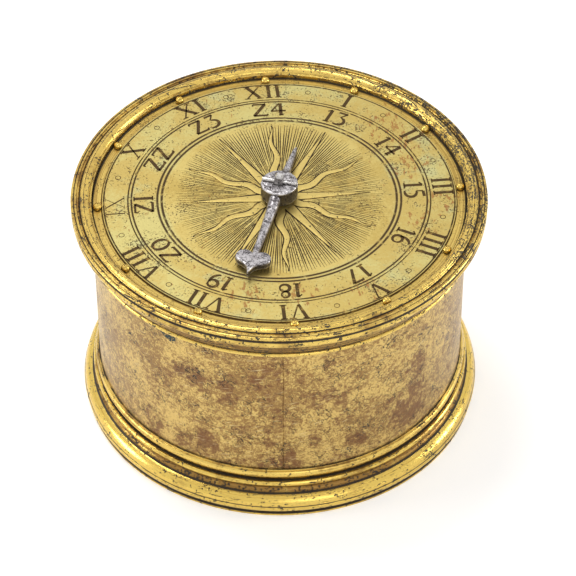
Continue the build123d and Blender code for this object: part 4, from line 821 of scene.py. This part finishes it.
        def notch(a: Array, r: Array, z: Array) -> tuple:
            """Push the surface out of the room that the hinge needs."""
            r, z = self.wobble(a, r, z, 0.04 * (z > 0.05) * (z < 6.15) * (r > 29))
            x, y = r * np.cos(a), r * np.sin(a)
            dy, dz = y - self.hinge[0], z - self.hinge[1]
            distance = np.hypot(dy, dz) + 1e-9
            inside = (np.abs(x) < self.hinge_half) & (distance < self.hinge_room)
            y = np.where(inside, self.hinge[0] + dy / distance * self.hinge_room, y)
            z = np.where(inside, self.hinge[1] + dz / distance * self.hinge_room, z)
            return np.hypot(x, y), z

        piece = revolve("base_ring", runs, 360, 0.13, notch)
        return dress(piece, Finish.BASE, "gilt_brass", "base_cover", "base_moulding")

    def bezel(self) -> bpy.types.Object:
        """Bezel: a rounded inner ring with tool marks, grooves and an overhanging edge."""
        edge, crest_z = self.rim_radius, 40.8
        slope = arc((31.68, 40.56), (30.75, crest_z), (30.1, 40.15), 30)
        # The dark fill of the runs is dirt with painted shade: full under the ring and in the gap beside the
        # dial, partial in the grooves.
        runs = [
            Run([(28.95, 37.3), (31.28, 37.3), (31.28, 40.15), (edge - 0.3, 40.15)], 0.8, 1.0),
            Run(arc((edge - 0.3, 40.15), (edge, 40.35), (edge - 0.2, 40.62), 9), 0.3),
            Run([(edge - 0.2, 40.62), (edge - 0.42, 40.62)], 0.55),
            Run([(edge - 0.42, 40.62), (edge - 0.5, 40.48), (edge - 0.58, 40.6)], 0.6, 0.75),
            Run([(edge - 0.58, 40.6), (edge - 0.9, 40.6)], 0.45),
            Run(arc((edge - 0.9, 40.6), (edge - 1.12, 40.3), (edge - 1.32, 40.5), 10), 0.6, 0.26),
            Run([(edge - 1.32, 40.5), (edge - 1.4, 40.38), (edge - 1.5, 40.54)], 0.6, 0.75),
        ]
        rings = ((0.16, 0.03, 0.05, 0.4), (0.34, 0.05, 0.06, 0.6), (0.55, 0.02, 0.04, 0.25),
                 (0.9, 0.03, 0.05, 0.45))
        runs += self.grooved(slope, rings, 0.22)
        runs += [Run([(30.1, 40.15), (29.9, 40.05)], 0.35, 0.1),
                 Run([(29.9, 40.05), (29.88, 39.45)], 0.5, 0.2),
                 Run([(29.88, 39.45), (29.86, 38.4), (28.95, 38.4)], 0.9, 1.0)]
        piece = revolve("bezel_moulding", runs, 400, 0.1,
                        lambda a, r, z: self.wobble(a, r, z, 0.05 * (z > 40.1)))
        return dress(piece, Finish.BEZEL, "gilt_brass", "case", "bezel_ring")

    def build(self) -> None:
        """Make every turned piece of the case."""
        for make in (self.band, self.cornice, self.bead, self.base, self.bezel):
            make()


@dataclass
class Dial:
    """The dial plate, its touch pins, numerals, half-hour marks and sunburst."""

    face: float = 39.6
    back: float = 38.4
    radius: float = 29.75
    centre_hole: float = 1.7
    lines: tuple = (18.72, 19.42, 23.55, 24.1, 27.95)
    line_half: float = 0.13
    line_depth: float = 0.1
    gutter: tuple = (28.22, 29.72)
    gutter_depth: float = 0.28
    pin_circle: float = 29.0
    pin_radius: float = 0.72
    roman_foot: float = 24.6
    roman_height: float = 3.12
    arabic_foot: float = 20.05
    arabic_height: float = 3.1
    ray_root: float = 2.6
    hatch_edge: float = 17.9
    hatch_lines: int = 222
    seed: int = 7

    def plate(self) -> bpy.types.Object:
        """Dial plate with scribed circles as small V cuts and the gutter as a shallow step."""
        face, back = self.face, self.back
        points = [(self.centre_hole, back), (self.centre_hole, face)]
        for radius in self.lines:
            points += [(radius - self.line_half, face), (radius, face - self.line_depth),
                       (radius + self.line_half, face)]
        low, high = self.gutter
        floor = face - self.gutter_depth
        points += [(low - 0.02, face), (low + 0.14, floor), (high - 0.1, floor + 0.02), (high, face - 0.08)]
        points += [(self.radius, face - 0.1), (self.radius, back)]
        piece = revolve("dial_face", [Run(np.array(points))], 400, 0.5)
        return dress(piece, Finish.DIAL, "dial_brass", "case", "dial_plate")

    def pins(self) -> bpy.types.Object:
        """Touch pins: domes on short necks.

        Each is a profile turned about its own axis; the dome's radius follows a circle's quarter.
        """
        seat = self.face - self.gutter_depth
        turn = np.linspace(0, 2 * pi, 25)[:-1]
        rise = np.linspace(0, pi / 2, 9)
        neck = np.array([(0.35, self.back), (0.35, seat), (0.58, seat + 0.02),
                         (self.pin_radius, seat + 0.3)])
        dome = np.stack([self.pin_radius * np.cos(rise), seat + 0.36 + 0.66 * np.sin(rise)], 1)
        profile = np.vstack([[(0.0, self.back)], neck, dome])
        profile[-1, 0] = 0.0
        around, rows = len(turn), len(profile) - 2
        vertices, faces = [], []
        generator = np.random.default_rng(self.seed)
        for hour in range(HOURS):
            centre = self.pin_circle * axes(hour_angle(hour))[0]
            lean = generator.uniform(-0.06, 0.06, 2)
            r = profile[None, 1:-1, 0] * generator.uniform(0.95, 1.0)
            z = profile[None, 1:-1, 1] + 0 * turn[:, None]
            x = centre[0] + r * np.cos(turn)[:, None] + lean[0] * (z - seat)
            y = centre[1] + r * np.sin(turn)[:, None] + lean[1] * (z - seat)
            low, top = (*centre, self.back), (*(centre + lean * (profile[-1, 1] - seat)), profile[-1, 1])
            base = hour * (around * rows + 2)
            vertices += [np.stack([x, y, z], 2).reshape(-1, 3), np.array([low, top])]
            faces += (grid_faces(around, rows, True, False) + base).tolist()
            first = base + np.arange(around) * rows
            after = np.roll(first, -1)
            foot = np.full(around, base + around * rows)
            faces += np.stack([first, foot, after], 1).tolist()
            faces += np.stack([first + rows - 1, after + rows - 1, foot + 1], 1).tolist()
        piece = link("hour_pins", np.concatenate(vertices), faces, 180)
        # Painted shade, with dirt, at the foot of each pin where it meets the gutter.
        store(piece, "dirt_and_shade", 1.0 * (np.concatenate(vertices)[:, 2] < seat + 0.1))
        return dress(piece, Finish.PIN, "gilt_brass", "case", "touch_pins")

    def build(self) -> None:
        """Make the plate and everything on it."""
        self.plate()
        self.pins()
        Numerals(self).build()
        Sunburst(self).build()


def stroke(x0: float, y0: float, x1: float, y1: float, w0: float, w1: float | None = None) -> tuple:
    """Straight cut from one point to another, its width changing from one value to the other."""
    points = np.array([(x0, y0), (x1, y1)], float)
    share = np.linspace(0, 1, 3)[:, None]
    widths = np.linspace(w0, w0 if w1 is None else w1, 3)
    return points[0] + (points[1] - points[0]) * share, widths


def bow(cx: float, cy: float, rx: float, ry: float, start: float, end: float, thin: float,
        thick: float) -> tuple:
    """Curved cut along an ellipse, thin at its ends and thick in its middle; angles in degrees."""
    turn = np.radians(np.linspace(start, end, 14))
    path = np.stack([cx + rx * np.cos(turn), cy + ry * np.sin(turn)], 1)
    widths = thin + (thick - thin) * np.sin(np.linspace(0, pi, 14)) ** 0.8
    return path, widths


STEM, HAIR, SERIF = 0.19, 0.085, 0.07
THICK = STEM * 0.95

# Width of each letter or figure in a box one unit high, then its cuts: four or five coordinates and
# widths make a stroke(), eight make a bow(). Z is the old form of 2; I is a stem with two serifs.
GLYPHS = {
    "I": (0.30, (0.15, 0.03, 0.15, 0.97, STEM), (0.0, 0.02, 0.30, 0.02, SERIF),
          (0.0, 0.98, 0.30, 0.98, SERIF)),
    "V": (0.82, (0.12, 0.97, 0.42, 0.02, STEM, STEM * 0.8), (0.70, 0.97, 0.44, 0.04, HAIR),
          (0.0, 0.98, 0.28, 0.98, SERIF), (0.58, 0.98, 0.84, 0.98, SERIF)),
    "X": (0.88, (0.14, 0.97, 0.74, 0.03, STEM), (0.72, 0.97, 0.14, 0.03, HAIR),
          (0.0, 0.98, 0.30, 0.98, SERIF), (0.58, 0.98, 0.86, 0.98, SERIF),
          (0.0, 0.02, 0.28, 0.02, SERIF), (0.58, 0.02, 0.88, 0.02, SERIF)),
    "1": (0.36, (0.20, 0.03, 0.20, 0.95, THICK), (0.02, 0.80, 0.20, 0.97, HAIR),
          (0.04, 0.02, 0.36, 0.02, HAIR)),
    "Z": (0.72, (0.06, 0.95, 0.66, 0.95, HAIR * 1.4), (0.62, 0.95, 0.10, 0.05, THICK),
          (0.06, 0.05, 0.72, 0.05, HAIR * 1.6), (0.06, 0.95, 0.06, 0.82, HAIR),
          (0.72, 0.05, 0.72, 0.18, HAIR)),
    "3": (0.56, (0.08, 0.95, 0.50, 0.95, HAIR * 1.5), (0.50, 0.95, 0.24, 0.60, HAIR),
          (0.20, 0.30, 0.32, 0.30, 75, -120, HAIR, THICK)),
    "4": (0.74, (0.46, 0.97, 0.06, 0.36, HAIR * 1.2), (0.06, 0.36, 0.74, 0.36, HAIR * 1.4),
          (0.50, 0.97, 0.50, 0.02, THICK), (0.40, 0.02, 0.62, 0.02, HAIR)),
    "5": (0.54, (0.14, 0.95, 0.50, 0.97, HAIR * 1.8), (0.14, 0.95, 0.12, 0.60, HAIR),
          (0.18, 0.30, 0.32, 0.31, 100, -110, HAIR, THICK)),
    "6": (0.58, (0.50, 0.40, 0.42, 0.58, 100, 185, HAIR, THICK * 0.9),
          (0.30, 0.28, 0.23, 0.26, 0, 360, HAIR, THICK)),
    "7": (0.58, (0.04, 0.95, 0.56, 0.95, HAIR * 1.6), (0.54, 0.95, 0.14, 0.02, THICK, THICK * 0.8),
          (0.04, 0.95, 0.04, 0.84, HAIR)),
    "8": (0.52, (0.26, 0.74, 0.17, 0.21, 0, 360, HAIR, THICK * 0.8),
          (0.26, 0.27, 0.22, 0.25, 0, 360, HAIR, THICK)),
    "9": (0.58, (0.08, 0.60, 0.42, 0.58, -80, 5, HAIR, THICK * 0.9),
          (0.28, 0.72, 0.23, 0.26, 0, 360, HAIR, THICK)),
    "0": (0.66, (0.33, 0.48, 0.28, 0.45, 90, 270, HAIR, THICK),
          (0.33, 0.48, 0.28, 0.45, -90, 90, HAIR, THICK)),
}


@dataclass
class Numerals:
    """Two rings of figures cut in the dial, and a small circle at each half hour."""

    dial: Dial
    roman: tuple = ("XII", "I", "II", "III", "IIII", "V", "VI", "VII", "VIII", "IX", "X", "XI")
    arabic: tuple = ("Z4", "13", "14", "15", "16", "17", "18", "19", "Z0", "ZI", "ZZ", "Z3")
    gap: float = 0.12
    spread: float = 1.14
    slips: tuple = (1.6, 0, 0, 1.0, 0.6, 1.0, 0.5, 0.4, 0.6, 0, 0, -0.5)
    worn_hour: int = 9
    worn_width: float = 0.4
    raised: float = 0.012
    depth: float = 0.06
    half_hour_circle: float = 26.3
    half_hour_radius: float = 0.42
    circle_width: float = 0.11
    doubled: tuple = (6, 11)
    second_away: float = 0.7
    second_width: float = 0.07

    def word(self, letters: str, centre_angle: float, foot: float, height: float) -> list:
        """Set figures side by side, upright with their feet towards the centre.

        A point (x, y) of the line goes to the dial along the tangent by x and outwards by y.

        Args:
            letters: The letters or figures, as keys of GLYPHS.
            centre_angle: Angle of the middle of the word, in radians from +X.
            foot: Radius of the feet.
            height: Height of the figures.

        Returns:
            Paths and widths in millimetres.
        """
        glyphs = [GLYPHS[letter] for letter in letters]
        left = -(sum(glyph[0] for glyph in glyphs) + self.gap * (len(glyphs) - 1)) / 2
        outward, tangent = axes(centre_angle)
        paths = []
        for width, *cuts in glyphs:
            for cut in cuts:
                path, widths = (bow if len(cut) == 8 else stroke)(*cut)
                x = (path[:, 0] + left) * height * self.spread
                y = foot + path[:, 1] * height
                paths.append((x[:, None] * tangent + y[:, None] * outward, widths * height))
            left += width + self.gap
        return paths

    def build(self) -> None:
        """Cut both rings of figures and the half-hour circles."""
        dial = self.dial
        romans, arabics, circles = [], [], []
        turn = np.linspace(0, 2 * pi, 25)
        circle = self.half_hour_radius * np.stack([np.cos(turn), np.sin(turn)], 1)
        for hour in range(HOURS):
            angle = hour_angle(hour)
            written = self.word(self.roman[hour], angle + radians(self.slips[hour]), dial.roman_foot,
                                dial.roman_height)
            strength = self.worn_width if hour == self.worn_hour else 1.0
            romans += [(path, widths * strength) for path, widths in written]
            arabics += self.word(self.arabic[hour], angle, dial.arabic_foot, dial.arabic_height)
            outward, tangent = axes(angle - pi / 12)
            ring = self.half_hour_circle * outward + circle
            circles.append((ring, np.full(len(ring), self.circle_width)))
            if hour in self.doubled:
                circles.append((ring + self.second_away * tangent, np.full(len(ring), self.second_width)))
        low, high = dial.face - self.depth, dial.face + self.raised
        wanted = {"roman_numerals": (romans, high), "arabic_numerals": (arabics, high + 0.003),
                  "half_hour_circles": (circles, high)}
        for name, (paths, top) in wanted.items():
            dress(strips(name, paths, low, top), Finish.NUMERAL, "dial_brass", "case")


@dataclass
class Sunburst:
    """Twelve rays, straight and wavy in turn, on a ground of fine radial hatching."""

    dial: Dial
    reaches: tuple = (17.5, 17.5, 16.4, 14.6, 16.0, 15.7, 17.2, 15.9, 16.4, 14.2, 16.1, 17.2)
    root_width: float = 1.8
    wave_size: float = 0.5
    wave_start: float = 4.0
    half_waves: float = 3.5
    raised: float = 0.055
    outline: float = 0.3

    def middle(self, ray: int, r: Array) -> Array:
        """Sideways shift of a ray's middle: two fading waves for wavy rays, none for straight."""
        if ray % 2:
            return 0.0 * r
        share = np.clip((r - self.wave_start) / (self.reaches[ray] - self.wave_start), 0, 1)
        sign = 1.0 if ray % 4 else -1.0
        return sign * self.wave_size * np.sin(share * self.half_waves * pi) * (1 - share) ** 0.3

    def width(self, ray: int, r: Array) -> Array:
        """Width of a ray: tapering evenly to a point; the wavy ones keep a belly."""
        reach = self.reaches[ray]
        share = np.clip((r - self.dial.ray_root) / (reach - self.dial.ray_root), 0, 1)
        power = 1.0 if ray % 2 else 0.75
        return self.root_width * (1 - share) ** power * (1.0 if ray % 2 else 0.85) + 0.02

    def rays(self) -> bpy.types.Object:
        """Low ridges: each ray's section is a flat triangle, its crest on the middle line."""
        across = np.array([-1.0, -0.92, 0.0, 0.92, 1.0])
        lift = np.array([-0.06, 0.012, self.raised, 0.012, -0.06])
        vertices, faces, base = [], [], 0
        for ray in range(HOURS):
            outward, side = axes(hour_angle(ray))
            r = np.linspace(self.dial.ray_root, self.reaches[ray], 60)
            half = self.width(ray, r) / 2
            shift = self.middle(ray, r)
            offset = shift[:, None] + half[:, None] * across
            plane = r[:, None, None] * outward + offset[:, :, None] * side
            height = self.dial.face + lift * np.clip(half / 0.3, 0.15, 1)[:, None]
            vertices.append(np.concatenate([plane, height[:, :, None]], 2).reshape(-1, 3))
            faces.append(grid_faces(len(r), len(across), False, False) + base)
            under = np.arange(len(r)) * len(across) + base
            wall = np.stack([under[:-1], under[1:], under[1:] + 4, under[:-1] + 4], 1)
            faces.append(wall[:, ::-1])
            faces.append([(base, base + 4, base + 2)])
            base += len(r) * len(across)
        piece = link("sun_rays", np.concatenate(vertices), [row for block in faces for row in block], 25)
        return dress(piece, Finish.RAY, "dial_brass", "case")

    def outlines(self) -> bpy.types.Object:
        """Cut lines along both flanks of every ray, the right one stronger."""
        paths = []
        for ray in range(HOURS):
            outward, side = axes(hour_angle(ray))
            reach = self.reaches[ray]
            r = np.linspace(self.dial.ray_root + 0.3, reach, 48)
            for edge, strength in ((-1, 0.6), (1, 1.0)):
                offset = self.middle(ray, r) + edge * (self.width(ray, r) / 2 + 0.03)
                path = r[:, None] * outward + offset[:, None] * side
                paths.append((path, self.outline * strength * (1.15 - 0.7 * (r / reach) ** 2)))
        piece = strips("ray_outlines", paths, self.dial.face - 0.06, self.dial.face + 0.014)
        return dress(piece, Finish.HATCH, "dial_brass", "case")

    def hatching(self) -> bpy.types.Object:
        """Fine radial cuts between the rays, each from a ray's flank or the boss to the ring's edge."""
        generator = np.random.default_rng(self.dial.seed)
        paths = []
        for line in range(self.dial.hatch_lines):
            angle = (line + generator.uniform(-0.18, 0.18)) / self.dial.hatch_lines * 2 * pi
            end = self.dial.hatch_edge - abs(generator.normal(0, 0.35)) - 1.3 * cos(angle) ** 2
            r = np.linspace(3.2, end, 40)
            clear = np.ones(len(r), bool)
            for ray in range(HOURS):
                away = (angle - hour_angle(ray) + pi) % (2 * pi) - pi
                if abs(away) < pi / 6:
                    offset = -np.sin(away) * r - self.middle(ray, r)
                    clear &= np.abs(offset) > self.width(ray, r) / 2 + 0.04
            clear &= r > 4.4 + 1.6 * (line % 2) + 2.4 * (line % 4 == 1) + generator.uniform(0, 0.9)
            if clear.sum() < 4:
                continue
            start = r[np.argmax(clear)]
            r = np.linspace(start, end, 5)
            path = np.stack([r * cos(angle), r * sin(angle)], 1)
            # Painted light: lines at the left and right are made thinner, those at the top and bottom wider,
            # so that they read darker there.
            strength = (0.6 + 0.4 * abs(sin(angle))) * generator.uniform(0.14, 0.2)
            paths.append((path, strength * np.array([0.4, 0.9, 1.0, 0.9, 0.3])))
        piece = strips("sun_hatching", paths, self.dial.face - 0.05, self.dial.face + 0.012)
        return dress(piece, Finish.HATCH, "dial_brass", "case")

    def build(self) -> None:
        """Make rays, their outlines and the hatching."""
        self.rays()
        self.outlines()
        self.hatching()


@dataclass
class Hand:
    """The forged hour hand: a drum-shaped boss, a rounded stem, a heart-shaped leaf and a tail."""

    turn: float = radians(90 - 199)
    low: float = 40.3
    boss_low: float = 40.2
    boss_top: float = 42.9
    boss_radius: float = 2.95
    square: float = 0.66
    pin_radius: float = 0.36
    leaf_top: float = 41.5
    reach: float = 20.0
    notch: float = 15.5
    half_leaf: float = 2.85
    tail: float = 10.9
    grain: float = 0.085
    sections: int = 60
    around: int = 24
    side_shade: float = 0.5
    rounds: int = 14
    stand_out: float = 0.1
    edge_round: float = 0.45

    def boss(self) -> tuple:
        """Boss as rings of points: flat top with a cross groove and a square well, rounded rims.

        The top's height is the full height less a rounded edge, less the round bed of the pin
        across it and less a step inside the square.
        """
        around, rings = 120, 34
        turn = np.arange(around) / around * 2 * pi
        r = np.linspace(0.02, self.boss_radius, rings)[None, :] + 0 * turn[:, None]
        x, y = r * np.cos(turn)[:, None], r * np.sin(turn)[:, None]
        rim = np.clip((r - self.boss_radius + self.edge_round) / self.edge_round, 0, 1)
        bed = np.sqrt(np.clip((self.pin_radius + 0.06) ** 2 - x**2, 0, None)) * 1.15
        well = 0.75 * (np.maximum(np.abs(x), np.abs(y)) < self.square + 0.14)
        dents = 0.05 * np.sin(3.1 * x + 1.2) * np.sin(2.7 * y + 0.4) + 0.03 * np.sin(6.3 * x - 4.9 * y)
        rounding = 0.22 * (1 - np.sqrt(1 - 0.96 * rim**2))
        top = self.boss_top - 0.03 - rounding - np.maximum(bed, well) - np.abs(dents)
        side_z = np.linspace(self.boss_top - 0.4, self.boss_low + 0.15, 8)[None, :] + 0 * turn[:, None]
        side_r = self.boss_radius + 0 * side_z
        under_r = np.array([self.boss_radius - 0.15, 0.02])[None, :] + 0 * turn[:, None]
        radius = np.concatenate([r, side_r, under_r], 1)
        height = np.concatenate([top, side_z, self.boss_low + 0 * under_r], 1)
        points = np.stack([radius * np.cos(turn)[:, None], radius * np.sin(turn)[:, None], height], 2)
        count = radius.shape[1]
        faces = grid_faces(around, count, True, False)[:, ::-1].tolist()
        first = np.arange(around) * count
        return points.reshape(-1, 3), faces + [first.tolist(), (first + count - 1)[::-1].tolist()]

    def bar(self, places: list) -> tuple:
        """Rounded bar along the hand through sections of (place, width, top).

        Each section is an oval between the hand's low face and its own top, flattened below.
        """
        known = np.array(places, float)
        order = np.argsort(known[:, 0])
        place = np.linspace(known[0, 0], known[-1, 0], self.sections)
        width, top = (np.interp(place, known[order, 0], known[order, column]) for column in (1, 2))
        width, top = soften(width, 6), soften(top, 6)
        turn = np.arange(self.around) / self.around * 2 * pi
        middle, half = (top + self.low) / 2, (top - self.low) / 2
        flat = np.where(np.sin(turn) < 0, -np.sqrt(np.abs(np.sin(turn))), np.sin(turn))
        side = np.sign(np.cos(turn)) * np.abs(np.cos(turn)) ** 0.9
        points = np.stack([place[:, None] + 0 * turn, side * width[:, None] / 2,
                           middle[:, None] + flat * half[:, None]], 2).reshape(-1, 3)
        cells = grid_faces(self.sections, self.around, False, True).tolist()
        cells += [list(range(self.around))[::-1], list(range(len(points) - self.around, len(points)))]
        rising = known[-1, 0] > known[0, 0]
        return points, [cell[::-1] for cell in cells] if rising else cells

    def leaf(self) -> tuple:
        """Heart-shaped leaf: two circles side by side and a drawn-out point, its upper edge round."""
        n, reach, lobe = self.notch, self.reach, self.half_leaf / 2
        turn = np.radians(np.linspace(-90, -318, 24))
        circle = np.stack([n + 0.75 + lobe * np.cos(turn), lobe + lobe * np.sin(turn)], 1)
        point = [(n + 2.3, 1.42), (n + 2.6, 0.9), (n + 3.0, 0.56), (n + 3.6, 0.3), (reach, 0.05)]
        known = np.vstack([circle, point])
        length = distances(known)
        step = np.linspace(0, length[-1], 80)
        half = soften(np.stack([np.interp(step, length, known[:, i]) for i in (0, 1)], 1), 3)
        outline = np.concatenate([half, (half * (1, -1))[-1:0:-1]])
        along = np.roll(outline, -1, 0) - np.roll(outline, 1, 0)
        inward = np.stack([along[:, 1], -along[:, 0]], 1)
        inward /= np.linalg.norm(inward, axis=1)[:, None]
        top = self.leaf_top
        layers = ((0.06, self.low), (0.0, self.low + 0.15), (0.0, top - 0.28), (0.05, top - 0.12),
                  (0.16, top - 0.02), (0.30, top))
        points = np.concatenate([np.column_stack([outline + inward * inset, np.full(len(outline), z)])
                                 for inset, z in layers])
        count = len(outline)
        faces = grid_faces(len(layers), count, False, True).tolist()
        last = range((len(layers) - 1) * count, len(layers) * count)
        return points, faces + [list(range(count)), list(last)[::-1]]

    def build(self) -> None:
        """Fuse the parts into one forging and turn it to its hour."""
        stem = self.bar([(1.9, 1.9, 42.75), (3.0, 1.9, 42.45), (4.6, 1.75, 41.95), (7.0, 1.55, 41.65),
                         (11.0, 1.28, 41.5), (16.4, 1.0, 41.42)])
        tail = self.bar([(-1.9, 1.8, 42.55), (-3.0, 1.6, 42.2), (-4.6, 1.35, 41.75), (-7.5, 1.05, 41.5),
                         (-10.3, 0.72, 41.2), (-self.tail, 0.4, 41.0)])
        vertices, faces, base = [], [], 0
        for points, cells in (self.boss(), stem, tail, self.leaf()):
            vertices.append(points)
            faces += [[i + base for i in cell] for cell in cells]
            base += len(points)
        parts = link("hand_parts", np.concatenate(vertices), faces)
        fuse = parts.modifiers.new("fuse", "REMESH")
        fuse.mode, fuse.voxel_size = "VOXEL", self.grain * MM
        smooth = parts.modifiers.new("smooth", "SMOOTH")
        smooth.factor, smooth.iterations = 0.5, 3
        shape = bpy.data.meshes.new_from_object(parts.evaluated_get(bpy.context.evaluated_depsgraph_get()))
        bpy.data.objects.remove(parts)
        shape.name = "hand_forging"
        shape.transform(Matrix.Rotation(self.turn, 4, "Z"))
        shape.shade_smooth()
        piece = add_object("hand_forging", shape)
        # The stored numbers give rubbed light edges, and painted shade in corners and on upright sides.
        store(piece, "rub_and_shade", self.rubbing_and_shade(shape))
        dress(piece, Finish.HAND, "hand_iron", "hand_assembly", "hour_hand")

    def rubbing_and_shade(self, shape: bpy.types.Mesh) -> Array:
        """How far each point stands out of its surroundings, from -1 in a corner to 1 on an edge.

        The mesh is averaged over its edges a few times; what a point loses along its normal,
        set against the distance stand_out, is how much it stands out. Upright sides count as lower
        still, so that the material paints them with shade, as it paints corners.
        """
        count = len(shape.vertices)
        points, normals = np.empty(count * 3, np.float32), np.empty(count * 3, np.float32)
        shape.vertices.foreach_get("co", points)
        shape.vertices.foreach_get("normal", normals)
        points, normals = points.reshape(-1, 3).astype(float), normals.reshape(-1, 3)
        edges = np.empty(len(shape.edges) * 2, np.int32)
        shape.edges.foreach_get("vertices", edges)
        first, second = edges.reshape(-1, 2).T
        weight = np.bincount(np.concatenate([first, second]), minlength=count)[:, None] + 1.0
        smooth = points.copy()
        for _ in range(self.rounds):
            total = smooth.copy()
            for axis in range(3):
                total[:, axis] += np.bincount(first, smooth[second, axis], count)
                total[:, axis] += np.bincount(second, smooth[first, axis], count)
            smooth = total / weight
        standing = np.clip(np.sum((points - smooth) * normals, 1) / (self.stand_out * MM), -1, 1)
        # Upright sides are pushed lower so that the material paints them darker as shade.
        return standing - self.side_shade * (1 - np.clip(normals[:, 2] * 1.6, 0, 1))


@dataclass
class Movement:
    """Finishes of the nodes kept from the frame."""

    iron: tuple = ("top_plate", "bottom_plate", "pillars", "pillar_pins", "dial_foot_pins", "spring_post",
                   "snail_stud", "roller_pin", "potence", "counter_potence", "balance_cock", "plate_screws",
                   "great_wheel", "click_stud", "click", "winding_arbor", "ratchet_wheel", "snail_pinion",
                   "snail_wheel", "snail", "second_wheel", "second_arbor", "report_pinion", "contrate_wheel",
                   "contrate_arbor", "crown_wheel", "crown_arbor", "verge", "balance_wheel", "hour_wheel",
                   "hinge_pin")
    springs: tuple = ("mainspring", "stackfreed_spring", "click_spring", "friction_washer")
    brass: tuple = ("dial_feet", "base_floor", "roller")
    gilt: tuple = ("case_knuckle", "cover_knuckles")
    hand: tuple = ("hand_pin", "hour_arbor")

    def build(self) -> None:
        """Put a finish on every node that is shown as it is."""
        for names, finish in ((self.iron, Finish.MOVEMENT), (self.springs, Finish.SPRING),
                              (self.brass, Finish.INNER_BRASS), (self.gilt, Finish.CORNICE),
                              (self.hand, Finish.ARBOR)):
            for name in names:
                paint(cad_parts[name], finish)
                LOG.info("%s: %s", name, finish.name.lower())


@dataclass
class Studio:
    """Camera, pale floor, white surroundings and soft lamps."""

    elevation: float = 41.97
    azimuth: float = -4.48
    distance: float = 449.75
    aim_height: float = 40.17
    roll: float = -0.22
    focal_pixels: float = 2824.8
    image_pixels: float = 576.0
    aim_pixel: tuple = (279.3, 194.5)
    sensor: float = 36.0
    floor_reach: float = 3.0
    soft_light: tuple = (0.9, 0.55)
    white: tuple = (1.0, 1.0)
    floor_grey: float = 0.9
    floor_glow: float = 0.42
    lamps: tuple = (
        ("key_lamp", (-0.2, 0.3, 0.85), 0.4, 3.0),
        ("front_lamp", (0.2, -0.8, 0.5), 0.5, 0.9),
        ("right_lamp", (0.8, 0.0, 0.22), 0.3, 2.2),
        ("left_lamp", (-0.8, 0.0, 0.22), 0.3, 2.0),
    )

    def camera(self) -> None:
        """Camera that puts the axis at the dial on its own pixel, with no shift.

        The camera first looks straight at that point, then turns by the small angle between the
        middle of the picture and the point's pixel.
        """
        a, e = radians(self.azimuth), radians(self.elevation)
        back = Vector((sin(a) * cos(e), -cos(a) * cos(e), sin(e)))
        data = bpy.data.cameras.new("camera")
        data.sensor_width = self.sensor
        data.lens = self.focal_pixels * self.sensor / self.image_pixels
        data.clip_start, data.clip_end = 0.01, 20
        camera = add_object("camera", data)
        middle = self.image_pixels / 2
        view = Vector((self.aim_pixel[0] - middle, middle - self.aim_pixel[1], -self.focal_pixels))
        turn = view.normalized().rotation_difference(Vector((0, 0, -1))).to_matrix()
        base = (-back).to_track_quat("-Z", "Y").to_matrix() @ Matrix.Rotation(radians(self.roll), 3, "Z")
        place = Vector((0, 0, self.aim_height * MM)) + back * self.distance * MM
        camera.matrix_world = Matrix.Translation(place) @ (base @ turn).to_4x4()
        bpy.context.scene.camera = camera

    def world(self) -> None:
        """White for the camera and for reflections, a softer level for the light it gives."""
        world = bpy.data.worlds.new("studio")
        bpy.context.scene.world = world
        world.use_nodes = True
        tree = world.node_tree
        tree.nodes.clear()
        mixer, path = tree.nodes.new("ShaderNodeMixShader"), tree.nodes.new("ShaderNodeLightPath")
        share = path.outputs["Is Camera Ray"]
        for name in ("Is Glossy Ray", "Is Transmission Ray"):
            most = tree.nodes.new("ShaderNodeMath")
            most.operation = "MAXIMUM"
            tree.links.new(share, most.inputs[0])
            tree.links.new(path.outputs[name], most.inputs[1])
            share = most.outputs[0]
        tree.links.new(share, mixer.inputs[0])
        for socket, (colour, strength) in zip(mixer.inputs[1:], (self.soft_light, self.white)):
            glow = tree.nodes.new("ShaderNodeBackground")
            glow.inputs[0].default_value = (colour, colour, colour, 1)
            glow.inputs[1].default_value = strength
            tree.links.new(glow.outputs[0], socket)
        tree.links.new(mixer.outputs[0], tree.nodes.new("ShaderNodeOutputWorld").inputs[0])

    def floor(self) -> None:
        """Plain pale floor that keeps the clock's shadow."""
        reach = self.floor_reach / MM
        corners = np.array([(-reach, -reach, 0), (reach, -reach, 0), (reach, reach, 0), (-reach, reach, 0)])
        plane = link("floor", corners, np.array([[0, 1, 2, 3]]))
        n = Nodes("floor_paper")
        diffuse = n.node("ShaderNodeBsdfDiffuse", (self.floor_grey,) * 3).outputs[0]
        glow = n.node("ShaderNodeEmission", (1.0, 1.0, 1.0), self.floor_glow).outputs[0]
        lit = n.node("ShaderNodeAddShader", diffuse, glow).outputs[0]
        path = n.node("ShaderNodeLightPath").outputs
        seen = n.math("MAXIMUM", path["Is Camera Ray"], path["Is Glossy Ray"])
        n.feed(n.output.inputs["Surface"], n.node("ShaderNodeMixShader", seen, diffuse, lit).outputs[0])
        plane.data.materials.append(n.material)

    def light(self) -> None:
        """Large soft lamps aimed at the clock."""
        for name, place, size, power in self.lamps:
            data = bpy.data.lights.new(name, "AREA")
            data.shape, data.size, data.energy = "DISK", size, power
            lamp = add_object(name, data)
            lamp.location = place
            lamp.rotation_euler = (Vector((0, 0, 0.02)) - Vector(place)).to_track_quat("-Z", "Y").to_euler()

    def build(self) -> None:
        """Set up the studio."""
        scene = bpy.context.scene
        scene.view_settings.view_transform = "Standard"
        self.camera()
        self.world()
        self.floor()
        self.light()


def main() -> None:
    """Build the clock piece by piece, then the studio."""
    logging.basicConfig(level=logging.INFO, format="%(name)s %(message)s")
    Case().build()
    Dial().build()
    Hand().build()
    Movement().build()
    Studio().build()
    bpy.context.view_layer.update()


if __name__ == "__main__":
    main()
